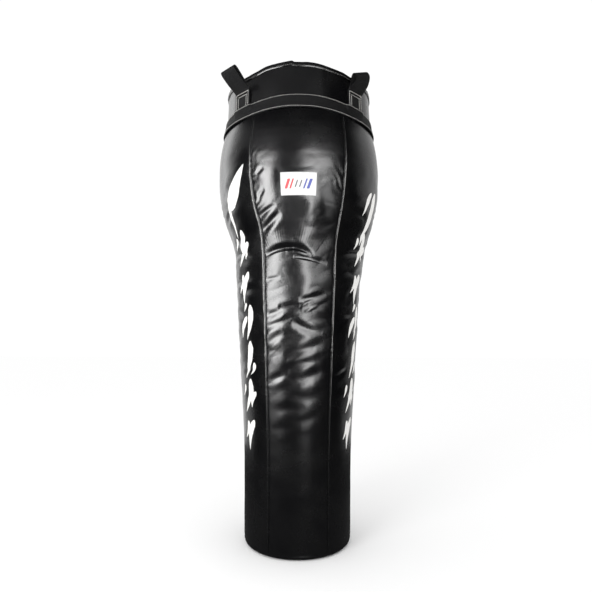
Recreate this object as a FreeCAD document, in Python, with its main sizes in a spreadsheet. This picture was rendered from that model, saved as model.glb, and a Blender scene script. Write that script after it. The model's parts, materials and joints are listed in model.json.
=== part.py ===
import FreeCAD, Part
import Sketcher
import math
import os

from FreeCAD import Placement, Rotation, Vector

# An angle heavy bag: a tapered leather punching bag with a narrow foot, a wide belly
# and a collar that carries four webbing loops. Millimetres, +Z up, origin at the middle
# of the foot, the front of the bag towards -Y.

DIMENSIONS = (
    # name, value, what it is
    ("foot_wall_radius", 143.0, "outer radius of the straight lower wall"),
    ("foot_round", 17.0, "radius of the rounded edge under the wall"),
    ("base_seam_radius", 120.0, "where the wall panels meet the base disc"),
    ("foot_straight_top", 190.0, "height where the wall starts to lean out"),
    ("flare_bend", 2400.0, "radius of the slow bend into the lean"),
    ("flare_angle", 2.9, "lean of the wall below the neck, degrees"),
    ("neck_curve", 170.0, "radius of the hollow curve at the neck"),
    ("belly_radius", 214.0, "largest outer radius"),
    ("belly_height", 975.0, "height of the largest radius"),
    ("belly_curve", 400.0, "radius of the belly's outline"),
    ("band_seam_height", 1101.0, "seam between the wall panels and the collar"),
    ("collar_foot_radius", 193.6, "outer radius of the collar at its seam"),
    ("rim_radius", 189.0, "outer radius of the collar at the rim"),
    ("rim_height", 1190.0, "top edge of the collar"),
    ("leather", 2.0, "thickness of the leather"),
    ("panel_angle", 59.9, "angle that one wall panel covers"),
    ("seam_gap", 0.4, "gap between sewn leather edges"),
    ("layer_gap", 0.3, "gap between the layers inside"),
    ("liner_cloth", 0.6, "thickness of the nylon liner"),
    ("foam", 12.0, "thickness of the foam sleeve and base pad"),
    ("top_pad", 28.0, "thickness of the foam pad under the lid"),
    ("top_pad_height", 1176.0, "top face of that pad"),
    ("webbing", 1.8, "thickness of one ply of webbing"),
    ("band_width", 34.0, "width of the webbing round the seam"),
    ("band_foot_radius", 198.6, "inner radius of the band's lower edge"),
    ("band_top_radius", 197.5, "inner radius of the band's upper edge"),
    ("band_foot_height", 1087.0, "lower edge of the band"),
    ("strap_width", 50.0, "width of the strap webbing"),
    ("strap_angle", 45.0, "turn of each strap from the front or the back"),
    ("tail_foot_height", 1104.0, "lower end of a sewn strap tail"),
    ("tail_top_height", 1151.5, "upper end of a sewn strap tail"),
    ("tail_span", 14.8, "angle that a strap tail covers"),
    ("loop_pivot_height", 1154.0, "height of the line where a loop flexes"),
    ("loop_pivot_radius", 196.9, "radius of that line from the axis"),
    ("loop_reach", 51.0, "pivot to the middle of the loop's round end"),
    ("loop_end_radius", 12.0, "outer radius of the loop's round end"),
    ("loop_lean", 49.5, "lean of a loop from upright, degrees"),
    ("eye_root", 0.3, "radius of the eye's corner where the two plies part"),
    ("eye_overrun", 2.0, "how much longer than the strap's width the eye's cut is"),
    ("lid_top", 1184.0, "top face of the lid"),
    ("lid_radius", 186.8, "outer radius of the lid's upturned edge"),
    ("lid_angle", 179.9, "angle that one half of the lid covers"),
    ("lid_slot_half", 9.0, "half the width of the slot over the zip"),
    ("lid_slot_reach", 150.0, "half the length of that slot"),
    ("binding", 1.2, "thickness of the rim binding"),
    ("binding_top", 1192.4, "top of the rim binding"),
    ("binding_drop", 10.0, "depth of the binding's outer leg"),
    ("binding_short", 2.0, "how much shorter its inner leg is, over the lid"),
    ("binding_outer", 191.0, "outer radius of the binding"),
    ("binding_inner", 183.2, "inner radius of the binding"),
    ("tape_top", 1181.8, "top face of the zip tapes"),
    ("tape_thick", 0.8, "thickness of a zip tape"),
    ("tape_near", 5.4, "zip tape's edge beside the teeth"),
    ("tape_far", 20.0, "zip tape's sewn edge"),
    ("tape_reach", 156.0, "half the length of a zip tape"),
    ("teeth_mid", 1181.4, "height of the middle of the teeth"),
    ("tooth_near", 0.8, "tooth tip to the zip's middle line"),
    ("tooth_far", 4.2, "tooth root to the zip's middle line"),
    ("tooth_high", 3.0, "height of a tooth"),
    ("tooth_long", 2.4, "length of a tooth along the zip"),
    ("tooth_pitch", 4.0, "spacing of the teeth"),
    ("bead_far", 5.2, "outer face of the bead that carries the teeth"),
    ("bead_high", 2.0, "height of that bead"),
    ("bead_hold", 0.4, "how far a tooth's root sits in the bead"),
    ("row_reach", 146.0, "half the length of a row of teeth"),
    ("stop_long", 3.0, "length of a zip stop"),
    ("slider_rest", 137.7, "slider's middle at rest, at the closed end"),
    ("slider_long", 16.0, "length of the slider"),
    ("slider_half", 6.5, "half the slider's width"),
    ("plate_thick", 1.8, "thickness of each slider plate"),
    ("plate_gap", 1.9, "teeth's middle to a slider plate"),
    ("flange_inner", 5.5, "inner face of the slider's edge flanges"),
    ("flange_gap", 0.75, "teeth's middle to the edge of a flange"),
    ("neck_half", 0.5, "half the thickness of the slider's neck"),
    ("neck_long", 5.0, "length of the slider's neck"),
    ("bridge_half", 1.5, "half the width of the slider's bridge"),
    ("bridge_long", 10.0, "length of the bridge"),
    ("bridge_high", 4.0, "height of the bridge"),
    ("bridge_wall", 1.3, "thickness of the bridge"),
    ("bridge_sunk", 0.2, "how far the bridge's feet sit in the plate"),
    ("pull_pivot_rise", 1.4, "pull's bar above the slider's upper plate"),
    ("pull_thick", 1.4, "thickness of the pull"),
    ("pull_long", 34.0, "bar to the end of the pull"),
    ("pull_half", 4.2, "half the width of the pull"),
    ("pull_window_half", 2.2, "half the width of the window round the bridge"),
    ("pull_window_long", 6.4, "length of that window"),
    ("pull_hole_radius", 1.6, "hole for a cord in the end of the pull"),
    ("label_wide", 84.0, "width of the sewn label"),
    ("label_span", 22.8, "angle that the label covers"),
    ("label_high", 51.0, "height of the sewn label"),
    ("label_middle", 907.0, "height of the middle of the label"),
    ("label_thick", 0.8, "thickness of the sewn label"),
)

SHEET = "dims"
SIZE = {name: value for name, value, _ in DIMENSIONS}
START, END, CENTRE = 1, 2, 3
ORIGIN, ORIGIN_POINT = -1, 1

doc = FreeCAD.newDocument("angle_bag")


def fill_sheet():
    """Writes the driving dimensions to the document's spreadsheet, one aliased cell each."""
    sheet = doc.addObject("Spreadsheet::Sheet", SHEET)
    for row, (name, value, note) in enumerate(DIMENSIONS, 1):
        sheet.set(f"A{row}", name)
        sheet.set(f"B{row}", str(value))
        sheet.set(f"C{row}", note)
        sheet.setAlias(f"B{row}", name)
    doc.recompute()


def cells(expression):
    """The expression with each dimension's name turned into its cell in the sheet."""
    words = expression.replace("(", " ( ").replace(")", " ) ").split()
    return " ".join(f"{SHEET}.{word}" if word in SIZE else word for word in words)


def new_body(label):
    """An empty PartDesign body for one sub-part."""
    body = doc.addObject("PartDesign::Body", label)
    body.Label = label
    return body


def origin_plane(body, role):
    """One of the body's own origin planes, by its role."""
    return next(item for item in body.Origin.OriginFeatures if item.Role == role)


class Outline:
    """A sketch on one of its body's origin planes, whose sizes are bound to the sheet."""

    def __init__(self, body, plane="XZ_Plane"):
        self.sketch = body.newObject("Sketcher::SketchObject", body.Name + "_outline")
        self.sketch.AttachmentSupport = [(origin_plane(body, plane), "")]
        self.sketch.MapMode = "FlatFace"

    def line(self, start, end):
        edge = Part.LineSegment(Vector(*start, 0), Vector(*end, 0))
        return self.sketch.addGeometry(edge, False)

    def arc(self, centre, radius, low, high):
        """An arc that runs anticlockwise from angle low to angle high, in degrees."""
        circle = Part.Circle(Vector(*centre, 0), Vector(0, 0, 1), radius)
        edge = Part.ArcOfCircle(circle, math.radians(low), math.radians(high))
        return self.sketch.addGeometry(edge, False)

    def circle(self, centre, radius):
        round_edge = Part.Circle(Vector(*centre, 0), Vector(0, 0, 1), radius)
        return self.sketch.addGeometry(round_edge, False)

    def tie(self, kind, *where):
        return self.sketch.addConstraint(Sketcher.Constraint(kind, *where))

    def join(self, *where):
        self.tie("Coincident", *where)

    def blend(self, *where):
        """Joins two ends so that one edge runs smoothly into the other."""
        self.tie("Tangent", *where)

    def size(self, kind, where, value, expression):
        """A constraint that starts at value and is driven by an expression of sheet cells."""
        index = self.tie(kind, *where, value)
        self.sketch.setExpression(f"Constraints[{index}]", cells(expression))

    def place(self, edge, end, point, across=None, up=None):
        """Ties an edge's end to distances from the sketch's origin."""
        if across:
            self.size("DistanceX", (ORIGIN, ORIGIN_POINT, edge, end), point[0], across)
        if up:
            self.size("DistanceY", (ORIGIN, ORIGIN_POINT, edge, end), point[1], up)

    def polygon(self, corners):
        """A closed outline of straight lines; a corner is (x, y, x's expression, y's)."""
        count = len(corners)
        edges = [
            self.line(corners[k][:2], corners[(k + 1) % count][:2]) for k in range(count)
        ]
        for k, (x, y, across, up) in enumerate(corners):
            self.join(edges[k - 1], END, edges[k], START)
            self.place(edges[k], START, (x, y), across, up)
        return edges

    def box(self, low, high):
        """An upright rectangle; low and high are (x, y, x's expression, y's)."""
        self.polygon(
            [
                low,
                (high[0], low[1], high[2], low[3]),
                high,
                (low[0], high[1], low[2], high[3]),
            ]
        )


def middle_of_neck_arc():
    """Centre of the neck's arc: it touches the leaning wall and the belly's arc."""
    lean = math.radians(SIZE["flare_angle"])
    along = Vector(math.sin(lean), math.cos(lean))
    outward = Vector(math.cos(lean), -math.sin(lean))
    bend_middle = Vector(
        SIZE["foot_wall_radius"] + SIZE["flare_bend"], SIZE["foot_straight_top"]
    )
    start = bend_middle + outward * (SIZE["neck_curve"] - SIZE["flare_bend"])
    belly = Vector(SIZE["belly_radius"] - SIZE["belly_curve"], SIZE["belly_height"])
    gap = start - belly
    reach = SIZE["neck_curve"] + SIZE["belly_curve"]
    forward = gap.dot(along)
    step = -forward - math.sqrt(forward**2 - gap.dot(gap) + reach**2)
    return start + along * step


def wall_chain(outline, inset, text, start_radius, top=None):
    """One side of a layer of the wall, from the base up: flat, rounded edge, straight
    wall, slow bend, leaning wall, neck and belly, all set in from the outside by inset.
    With a top it goes on up the collar. Returns its first and last edge."""
    wall, turn = SIZE["foot_wall_radius"], SIZE["foot_round"]
    straight_top = SIZE["foot_straight_top"]
    lean = SIZE["flare_angle"]
    bend = SIZE["flare_bend"] + inset
    bend_middle = Vector(wall + SIZE["flare_bend"], straight_top)
    neck, neck_middle = SIZE["neck_curve"] + inset, middle_of_neck_arc()
    belly = SIZE["belly_curve"] - inset
    belly_middle = Vector(SIZE["belly_radius"] - SIZE["belly_curve"], SIZE["belly_height"])
    to_neck = neck_middle - belly_middle
    dip = math.degrees(math.atan2(-to_neck.y, to_neck.x))
    rise = math.degrees(
        math.asin((SIZE["band_seam_height"] - SIZE["belly_height"]) / belly)
    )

    def on(middle, radius, angle):
        turned = math.radians(angle)
        return (
            middle.x + radius * math.cos(turned),
            middle.y + radius * math.sin(turned),
        )

    start = SIZE.get(start_radius, 0.0)
    flat = outline.line((start, inset), (wall - turn, inset))
    edge = outline.arc((wall - turn, turn), turn - inset, -90, 0)
    straight = outline.line((wall - inset, turn), (wall - inset, straight_top))
    bent = outline.arc((bend_middle.x, bend_middle.y), bend, 180 - lean, 180)
    leaning = outline.line(
        on(bend_middle, bend, 180 - lean), on(neck_middle, neck, 180 - lean)
    )
    hollow = outline.arc((neck_middle.x, neck_middle.y), neck, 180 - dip, 180 - lean)
    round_belly = outline.arc((belly_middle.x, belly_middle.y), belly, -dip, rise)

    outline.blend(flat, END, edge, START)
    outline.blend(edge, END, straight, START)
    outline.blend(straight, END, bent, END)
    outline.blend(bent, START, leaning, START)
    outline.blend(leaning, END, hollow, END)
    outline.blend(hollow, START, round_belly, START)
    outline.tie("Horizontal", flat)
    outline.tie("Vertical", straight)
    outline.place(flat, START, (start, inset), start_radius or "0", text)
    outline.place(edge, CENTRE, (wall - turn, turn), "foot_wall_radius - foot_round")
    outline.place(straight, END, (wall, straight_top), None, "foot_straight_top")
    outline.size("Radius", (edge,), turn - inset, f"foot_round - ( {text} )")
    outline.size("Radius", (bent,), bend, f"flare_bend + {text}")
    outline.size("Radius", (hollow,), neck, f"neck_curve + {text}")
    outline.size("Radius", (round_belly,), belly, f"belly_curve - ( {text} )")
    outline.size(
        "DistanceX",
        (round_belly, CENTRE, ORIGIN, ORIGIN_POINT),
        -belly_middle.x,
        "belly_curve - belly_radius",
    )
    outline.place(round_belly, CENTRE, (0, belly_middle.y), None, "belly_height")
    seam = on(belly_middle, belly, rise)
    outline.place(round_belly, END, seam, None, "band_seam_height")
    outline.size(
        "Angle",
        (leaning, START, straight, START),
        math.radians(lean),
        "flare_angle * 1 deg",
    )
    if top is None:
        return flat, round_belly
    rim = (SIZE["rim_radius"] - inset, SIZE[top])
    collar = outline.line(seam, rim)
    outline.join(round_belly, END, collar, START)
    outline.place(collar, END, rim, f"rim_radius - ( {text} )", top)
    return flat, collar


def close_between(outline, outer, inner):
    """Closes the outline of a layer with lines between the ends of its two sides."""
    sketch = outline.sketch
    for one, other, end in ((outer[0], inner[0], START), (outer[1], inner[1], END)):
        points = [sketch.getPoint(edge, end) for edge in (one, other)]
        closing = outline.line((points[0].x, points[0].y), (points[1].x, points[1].y))
        outline.join(one, end, closing, START)
        outline.join(other, end, closing, END)


def close_to_axis(outline, chain):
    """Closes the outline of a filled core with a line over its top and one down the axis."""
    sketch = outline.sketch
    foot = sketch.getPoint(chain[0], START)
    top = sketch.getPoint(chain[1], END)
    lid = outline.line((top.x, top.y), (0, top.y))
    axis = outline.line((0, top.y), (foot.x, foot.y))
    outline.join(chain[1], END, lid, START)
    outline.join(lid, END, axis, START)
    outline.join(axis, END, chain[0], START)
    outline.tie("Horizontal", lid)
    outline.tie("Vertical", axis)


def revolve(body, outline, expression=None, both_ways=True):
    """Turns the body's outline about the upright axis, all round or by an angle."""
    turned = body.newObject("PartDesign::Revolution", body.Name + "_turned")
    turned.Profile = outline.sketch
    turned.ReferenceAxis = (outline.sketch, ["V_Axis"])
    turned.Angle = 360.0
    if expression:
        turned.Midplane = both_ways
        turned.setExpression("Angle", cells(f"({expression}) * 1 deg"))
    outline.sketch.Visibility = False
    return turned


def extrude(body, outline, expression, name="pad"):
    """Pads the body's outline by the same length to each side of its plane."""
    pad = body.newObject("PartDesign::Pad", f"{body.Name}_{name}")
    pad.Profile = outline.sketch
    pad.Midplane = True
    pad.setExpression("Length", cells(expression))
    return pad


def cut(body, outline, expression, name="cut"):
    """Pockets the body's outline by the same length to each side of its plane."""
    pocket = body.newObject("PartDesign::Pocket", f"{body.Name}_{name}")
    pocket.Profile = outline.sketch
    pocket.Midplane = True
    pocket.setExpression("Length", cells(expression))
    return pocket


def turned_about_axis(angle):
    """A placement turned about the bag's upright axis, in degrees."""
    return Placement(Vector(), Rotation(Vector(0, 0, 1), angle))


# The revolved sub-parts are drawn towards +X, so a turn of -90 degrees faces the front.
FRONT = -90.0

WALL_PANELS = (
    "front_panel",
    "front_right_panel",
    "rear_right_panel",
    "rear_panel",
    "rear_left_panel",
    "front_left_panel",
)


def make_wall_panels():
    """Six sewn leather panels that make the wall, from the base disc to the band."""
    for number, name in enumerate(WALL_PANELS):
        body = new_body(name)
        outline = Outline(body)
        outer = wall_chain(outline, 0.0, "0", "base_seam_radius")
        inner = wall_chain(outline, SIZE["leather"], "leather", "base_seam_radius")
        close_between(outline, outer, inner)
        revolve(body, outline, "panel_angle")
        body.Placement = turned_about_axis(FRONT + number * 360.0 / len(WALL_PANELS))


def make_base_disc():
    """The round leather base that the bag stands on."""
    body = new_body("base_disc")
    outline = Outline(body)
    radius = SIZE["base_seam_radius"] - SIZE["seam_gap"]
    outline.box(
        (0.0, 0.0, "0", "0"),
        (radius, SIZE["leather"], "base_seam_radius - seam_gap", "leather"),
    )
    revolve(body, outline)


def make_collar():
    """The leather collar above the wall panels, which the straps are sewn to."""
    body = new_body("collar")
    outline = Outline(body)
    thick, foot_radius = SIZE["leather"], SIZE["collar_foot_radius"]
    foot = SIZE["band_seam_height"] + SIZE["seam_gap"]
    rim_radius, rim = SIZE["rim_radius"], SIZE["rim_height"]
    foot_text = "band_seam_height + seam_gap"
    outline.polygon(
        [
            (foot_radius, foot, "collar_foot_radius", foot_text),
            (rim_radius, rim, "rim_radius", "rim_height"),
            (rim_radius - thick, rim, "rim_radius - leather", "rim_height"),
            (foot_radius - thick, foot, "collar_foot_radius - leather", foot_text),
        ]
    )
    revolve(body, outline)


def layer_inset(*layers):
    """The depth and its expression below the outside, after these layers and gaps."""
    words = ["leather"]
    for layer in layers:
        words += ["layer_gap", layer]
    return sum(SIZE[word] for word in words), " + ".join(words)


def make_layer(name, outside, inside, start_radius):
    """A sleeve inside the wall, open at the top; its base starts at start_radius."""
    body = new_body(name)
    outline = Outline(body)
    gap = SIZE["layer_gap"]
    outer = wall_chain(
        outline,
        outside[0] + gap,
        outside[1] + " + layer_gap",
        start_radius,
        "top_pad_height",
    )
    inner = wall_chain(outline, *inside, start_radius, "top_pad_height")
    close_between(outline, outer, inner)
    revolve(body, outline)


def make_inside():
    """The nylon liner, the foam sleeve, the foam pads and the packed textile fill."""
    bare, lined = layer_inset(), layer_inset("liner_cloth")
    padded = layer_inset("liner_cloth", "foam")
    make_layer("nylon_liner", bare, lined, None)
    make_layer("foam_sleeve", lined, padded, "base_seam_radius")
    gap = SIZE["layer_gap"]

    body = new_body("base_pad")
    outline = Outline(body)
    radius = SIZE["base_seam_radius"] - SIZE["seam_gap"]
    outline.box(
        (0.0, lined[0] + gap, "0", lined[1] + " + layer_gap"),
        (radius, padded[0], "base_seam_radius - seam_gap", padded[1]),
    )
    revolve(body, outline)

    body = new_body("top_pad")
    outline = Outline(body)
    radius = SIZE["rim_radius"] - padded[0] - gap
    top = SIZE["top_pad_height"]
    outline.box(
        (0.0, top - SIZE["top_pad"], "0", "top_pad_height - top_pad"),
        (radius, top, f"rim_radius - ( {padded[1]} ) - layer_gap", "top_pad_height"),
    )
    revolve(body, outline)

    body = new_body("textile_fill")
    outline = Outline(body)
    inset = padded[0] + gap
    text = padded[1] + " + layer_gap"
    chain = wall_chain(outline, inset, text, None)
    sketch = outline.sketch
    seam = sketch.getPoint(chain[1], END)
    under = top - SIZE["top_pad"] - gap
    shoulder_radius = SIZE["rim_radius"] - inset
    collar = outline.line((seam.x, seam.y), (shoulder_radius, under))
    outline.join(chain[1], END, collar, START)
    outline.place(
        collar,
        END,
        (shoulder_radius, under),
        f"rim_radius - ( {text} )",
        "top_pad_height - top_pad - layer_gap",
    )
    close_to_axis(outline, (chain[0], collar))
    revolve(body, outline)


def make_band():
    """The webbing band sewn round the bag over the seam below the collar."""
    body = new_body("seam_band")
    outline = Outline(body)
    thick = SIZE["webbing"]
    foot, top = SIZE["band_foot_height"], SIZE["band_foot_height"] + SIZE["band_width"]
    low, high = SIZE["band_foot_radius"], SIZE["band_top_radius"]
    top_text = "band_foot_height + band_width"
    outline.polygon(
        [
            (low, foot, "band_foot_radius", "band_foot_height"),
            (low + thick, foot, "band_foot_radius + webbing", "band_foot_height"),
            (high + thick, top, "band_top_radius + webbing", top_text),
            (high, top, "band_top_radius", top_text),
        ]
    )
    revolve(body, outline)


def strap_turns():
    """Each strap's name and its direction round the axis, in degrees."""
    turn = SIZE["strap_angle"]
    return (
        ("front_left", FRONT - turn),
        ("front_right", FRONT + turn),
        ("rear_right", -FRONT - turn),
        ("rear_left", -FRONT + turn),
    )


def collar_radius_at(height):
    """Outer radius of the collar at a height."""
    foot, rim = SIZE["band_seam_height"], SIZE["rim_height"]
    share = (height - foot) / (rim - foot)
    return SIZE["collar_foot_radius"] + share * (
        SIZE["rim_radius"] - SIZE["collar_foot_radius"]
    )


def make_strap_tails():
    """The two plies of each strap that are box-stitched to the collar."""
    gap, plies = SIZE["layer_gap"], 2 * SIZE["webbing"]
    slope = "( rim_radius - collar_foot_radius ) / ( rim_height - band_seam_height )"
    corners = []
    for height_name, offset, offset_text in (
        ("tail_foot_height", gap, "layer_gap"),
        ("tail_foot_height", gap + plies, "layer_gap + 2 * webbing"),
        ("tail_top_height", gap + plies, "layer_gap + 2 * webbing"),
        ("tail_top_height", gap, "layer_gap"),
    ):
        height = SIZE[height_name]
        across = f"collar_foot_radius + ( {height_name} - band_seam_height ) * {slope}"
        corners.append(
            (
                collar_radius_at(height) + offset,
                height,
                f"{across} + {offset_text}",
                height_name,
            )
        )
    for name, turn in strap_turns():
        body = new_body(f"{name}_strap_tail")
        outline = Outline(body)
        outline.polygon(corners)
        revolve(body, outline, "tail_span")
        body.Placement = turned_about_axis(turn)


def teardrop(outline, root, end_radius, reach, root_text, end_text):
    """A closed drop: a small arc round the pivot, a large one at the end, and the two
    lines that touch both."""
    slant = math.degrees(math.asin((end_radius - root) / reach))
    tip = outline.arc((0, reach), end_radius, -slant, 180 + slant)
    base = outline.arc((0, 0), root, 180 + slant, 360 - slant)

    def touch(height, radius, side):
        turned = math.radians(slant)
        return side * radius * math.cos(turned), height - radius * math.sin(turned)

    right = outline.line(touch(0, root, 1), touch(reach, end_radius, 1))
    left = outline.line(touch(reach, end_radius, -1), touch(0, root, -1))
    outline.blend(base, END, right, START)
    outline.blend(right, END, tip, START)
    outline.blend(tip, END, left, START)
    outline.blend(left, END, base, START)
    outline.join(base, CENTRE, ORIGIN, ORIGIN_POINT)
    outline.tie("PointOnObject", tip, CENTRE, -2)
    outline.place(tip, CENTRE, (0, reach), None, "loop_reach")
    outline.size("Radius", (base,), root, root_text)
    outline.size("Radius", (tip,), end_radius, end_text)


def make_strap_loops():
    """The free loop of each strap, drawn upright about its pivot and then leant out."""
    reach, end, ply = SIZE["loop_reach"], SIZE["loop_end_radius"], SIZE["webbing"]
    for name, turn in strap_turns():
        body = new_body(f"{name}_strap_loop")
        outer = Outline(body)
        teardrop(outer, ply, end, reach, "webbing", "loop_end_radius")
        extrude(body, outer, "strap_width")
        eye = Outline(body)
        teardrop(eye, SIZE["eye_root"], end - ply, reach, "eye_root", "loop_end_radius - webbing")
        cut(body, eye, "strap_width + eye_overrun", "eye")
        facing = Rotation(Vector(0, 0, 1), turn)
        lean = Rotation(Vector(0, 1, 0), SIZE["loop_lean"])
        pivot = Vector(SIZE["loop_pivot_radius"], 0, SIZE["loop_pivot_height"])
        body.Placement = Placement(facing.multVec(pivot), facing.multiply(lean))


def make_lid():
    """Two leather halves of the lid with a turned-up edge, and the slot over the zip."""
    outer, top = SIZE["lid_radius"], SIZE["lid_top"]
    thick, rim = SIZE["leather"], SIZE["rim_height"]
    under_text = "lid_top - leather"
    for name, turn in (("lid_right_half", 0.0), ("lid_left_half", 180.0)):
        body = new_body(name)
        outline = Outline(body)
        outline.polygon(
            [
                (0.0, top - thick, "0", under_text),
                (outer, top - thick, "lid_radius", under_text),
                (outer, rim, "lid_radius", "rim_height"),
                (outer - thick, rim, "lid_radius - leather", "rim_height"),
                (outer - thick, top, "lid_radius - leather", "lid_top"),
                (0.0, top, "0", "lid_top"),
            ]
        )
        revolve(body, outline, "lid_angle")
        slot = Outline(body, "XY_Plane")
        reach, half = SIZE["lid_slot_reach"], SIZE["lid_slot_half"]
        slot.box(
            (-half, -reach, "-1 * lid_slot_half", "-1 * lid_slot_reach"),
            (half, reach, "lid_slot_half", "lid_slot_reach"),
        )
        cut(body, slot, "2 * rim_height + 10", "slot")
        body.Placement = turned_about_axis(turn)


def make_binding():
    """The leather strip folded over the raw edges of the collar and the lid."""
    body = new_body("rim_binding")
    outline = Outline(body)
    outer, inner = SIZE["binding_outer"], SIZE["binding_inner"]
    thick, top = SIZE["binding"], SIZE["binding_top"]
    foot = top - SIZE["binding_drop"]
    lid_face = foot + SIZE["binding_short"]
    foot_text = "binding_top - binding_drop"
    lid_text = "binding_top - binding_drop + binding_short"
    under_text = "binding_top - binding"
    outline.polygon(
        [
            (outer, foot, "binding_outer", foot_text),
            (outer, top, "binding_outer", "binding_top"),
            (inner, top, "binding_inner", "binding_top"),
            (inner, lid_face, "binding_inner", lid_text),
            (inner + thick, lid_face, "binding_inner + binding", lid_text),
            (inner + thick, top - thick, "binding_inner + binding", under_text),
            (outer - thick, top - thick, "binding_outer - binding", under_text),
            (outer - thick, foot, "binding_outer - binding", foot_text),
        ]
    )
    revolve(body, outline)


def side_box(outline, near, far, low, high):
    """A rectangle from (near, low) to (far, high), each given as a value and its text."""
    outline.box((near[0], low[0], near[1], low[1]), (far[0], high[0], far[1], high[1]))


def make_zip_tapes():
    """The two cloth tapes that are sewn under the lid's slot."""
    thick, top = SIZE["tape_thick"], SIZE["tape_top"]
    for name, turn in (("zip_right_tape", 0.0), ("zip_left_tape", 180.0)):
        body = new_body(name)
        outline = Outline(body)
        side_box(
            outline,
            (SIZE["tape_near"], "tape_near"),
            (SIZE["tape_far"], "tape_far"),
            (top - thick, "tape_top - tape_thick"),
            (top, "tape_top"),
        )
        extrude(body, outline, "2 * tape_reach")
        body.Placement = turned_about_axis(turn)


def make_zip_rows():
    """Each row of moulded teeth on its bead. The rows stand a little apart, so that the
    slider's neck passes between them."""
    middle, pitch = SIZE["teeth_mid"], SIZE["tooth_pitch"]
    reach = SIZE["row_reach"]
    count = int((2 * reach - SIZE["tooth_long"]) // pitch) + 1
    for name, turn in (("zip_right_teeth", 0.0), ("zip_left_teeth", 180.0)):
        body = new_body(name)
        bead = Outline(body)
        half_bead, half_tooth = SIZE["bead_high"] / 2, SIZE["tooth_high"] / 2
        side_box(
            bead,
            (SIZE["tooth_far"] - SIZE["bead_hold"], "tooth_far - bead_hold"),
            (SIZE["bead_far"], "bead_far"),
            (middle - half_bead, "teeth_mid - bead_high / 2"),
            (middle + half_bead, "teeth_mid + bead_high / 2"),
        )
        extrude(body, bead, "2 * row_reach", "bead")
        tooth = Outline(body)
        side_box(
            tooth,
            (SIZE["tooth_near"], "tooth_near"),
            (SIZE["tooth_far"], "tooth_far"),
            (middle - half_tooth, "teeth_mid - tooth_high / 2"),
            (middle + half_tooth, "teeth_mid + tooth_high / 2"),
        )
        first = (count - 1) * pitch / 2
        tooth.sketch.AttachmentOffset = Placement(Vector(0, 0, -first), Rotation())
        one = extrude(body, tooth, "tooth_long", "tooth")
        row = body.newObject("PartDesign::LinearPattern", body.Name + "_row")
        row.Originals = [one]
        row.Direction = (tooth.sketch, ["N_Axis"])
        row.Length = (count - 1) * pitch
        row.Occurrences = count
        body.Tip = row
        body.Placement = turned_about_axis(turn)


def make_zip_stops():
    """The two stops that close the ends of the rows of teeth."""
    middle, half_high = SIZE["teeth_mid"], SIZE["tooth_high"] / 2
    start = SIZE["row_reach"] + SIZE["layer_gap"]
    for name, side in (("zip_rear_stop", 1), ("zip_front_stop", -1)):
        stop = doc.addObject("Part::Box", name)
        stop.Label = name
        stop.setExpression("Length", cells("2 * bead_far"))
        stop.setExpression("Width", cells("stop_long"))
        stop.setExpression("Height", cells("tooth_high"))
        near = start if side > 0 else -start - SIZE["stop_long"]
        stop.Placement.Base = Vector(-SIZE["bead_far"], near, middle - half_high)


def make_zip_slider():
    """The slider: two flanged plates joined by a neck, with a bridge for the pull."""
    body = new_body("zip_slider")
    half, thick = SIZE["slider_half"], SIZE["plate_thick"]
    gap, edge = SIZE["plate_gap"], SIZE["flange_inner"]
    lip, middle = SIZE["flange_gap"], SIZE["teeth_mid"]
    for name, side in (("upper", 1), ("lower", -1)):
        sign = "+" if side > 0 else "-"
        inner = f"teeth_mid {sign} plate_gap"
        outer = f"teeth_mid {sign} ( plate_gap + plate_thick )"
        lip_text = f"teeth_mid {sign} flange_gap"
        plate = Outline(body)
        plate.polygon(
            [
                (half, middle + side * lip, "slider_half", lip_text),
                (half, middle + side * (gap + thick), "slider_half", outer),
                (-half, middle + side * (gap + thick), "-1 * slider_half", outer),
                (-half, middle + side * lip, "-1 * slider_half", lip_text),
                (-edge, middle + side * lip, "-1 * flange_inner", lip_text),
                (-edge, middle + side * gap, "-1 * flange_inner", inner),
                (edge, middle + side * gap, "flange_inner", inner),
                (edge, middle + side * lip, "flange_inner", lip_text),
            ]
        )
        if side > 0:
            extrude(body, plate, "slider_long", name)
            join_slider_plates(body)
        else:
            extrude(body, plate, "slider_long", name)
    add_bridge(body)
    body.Placement = Placement(Vector(0, SIZE["slider_rest"], 0), Rotation())


def join_slider_plates(body):
    """The thin neck that joins the plates and runs between the rows of teeth."""
    neck = Outline(body)
    reach, half = SIZE["plate_gap"] + SIZE["plate_thick"] / 2, SIZE["neck_half"]
    middle = SIZE["teeth_mid"]
    side_box(
        neck,
        (-half, "-1 * neck_half"),
        (half, "neck_half"),
        (middle - reach, "teeth_mid - plate_gap - plate_thick / 2"),
        (middle + reach, "teeth_mid + plate_gap + plate_thick / 2"),
    )
    extrude(body, neck, "neck_long", "neck")


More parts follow.
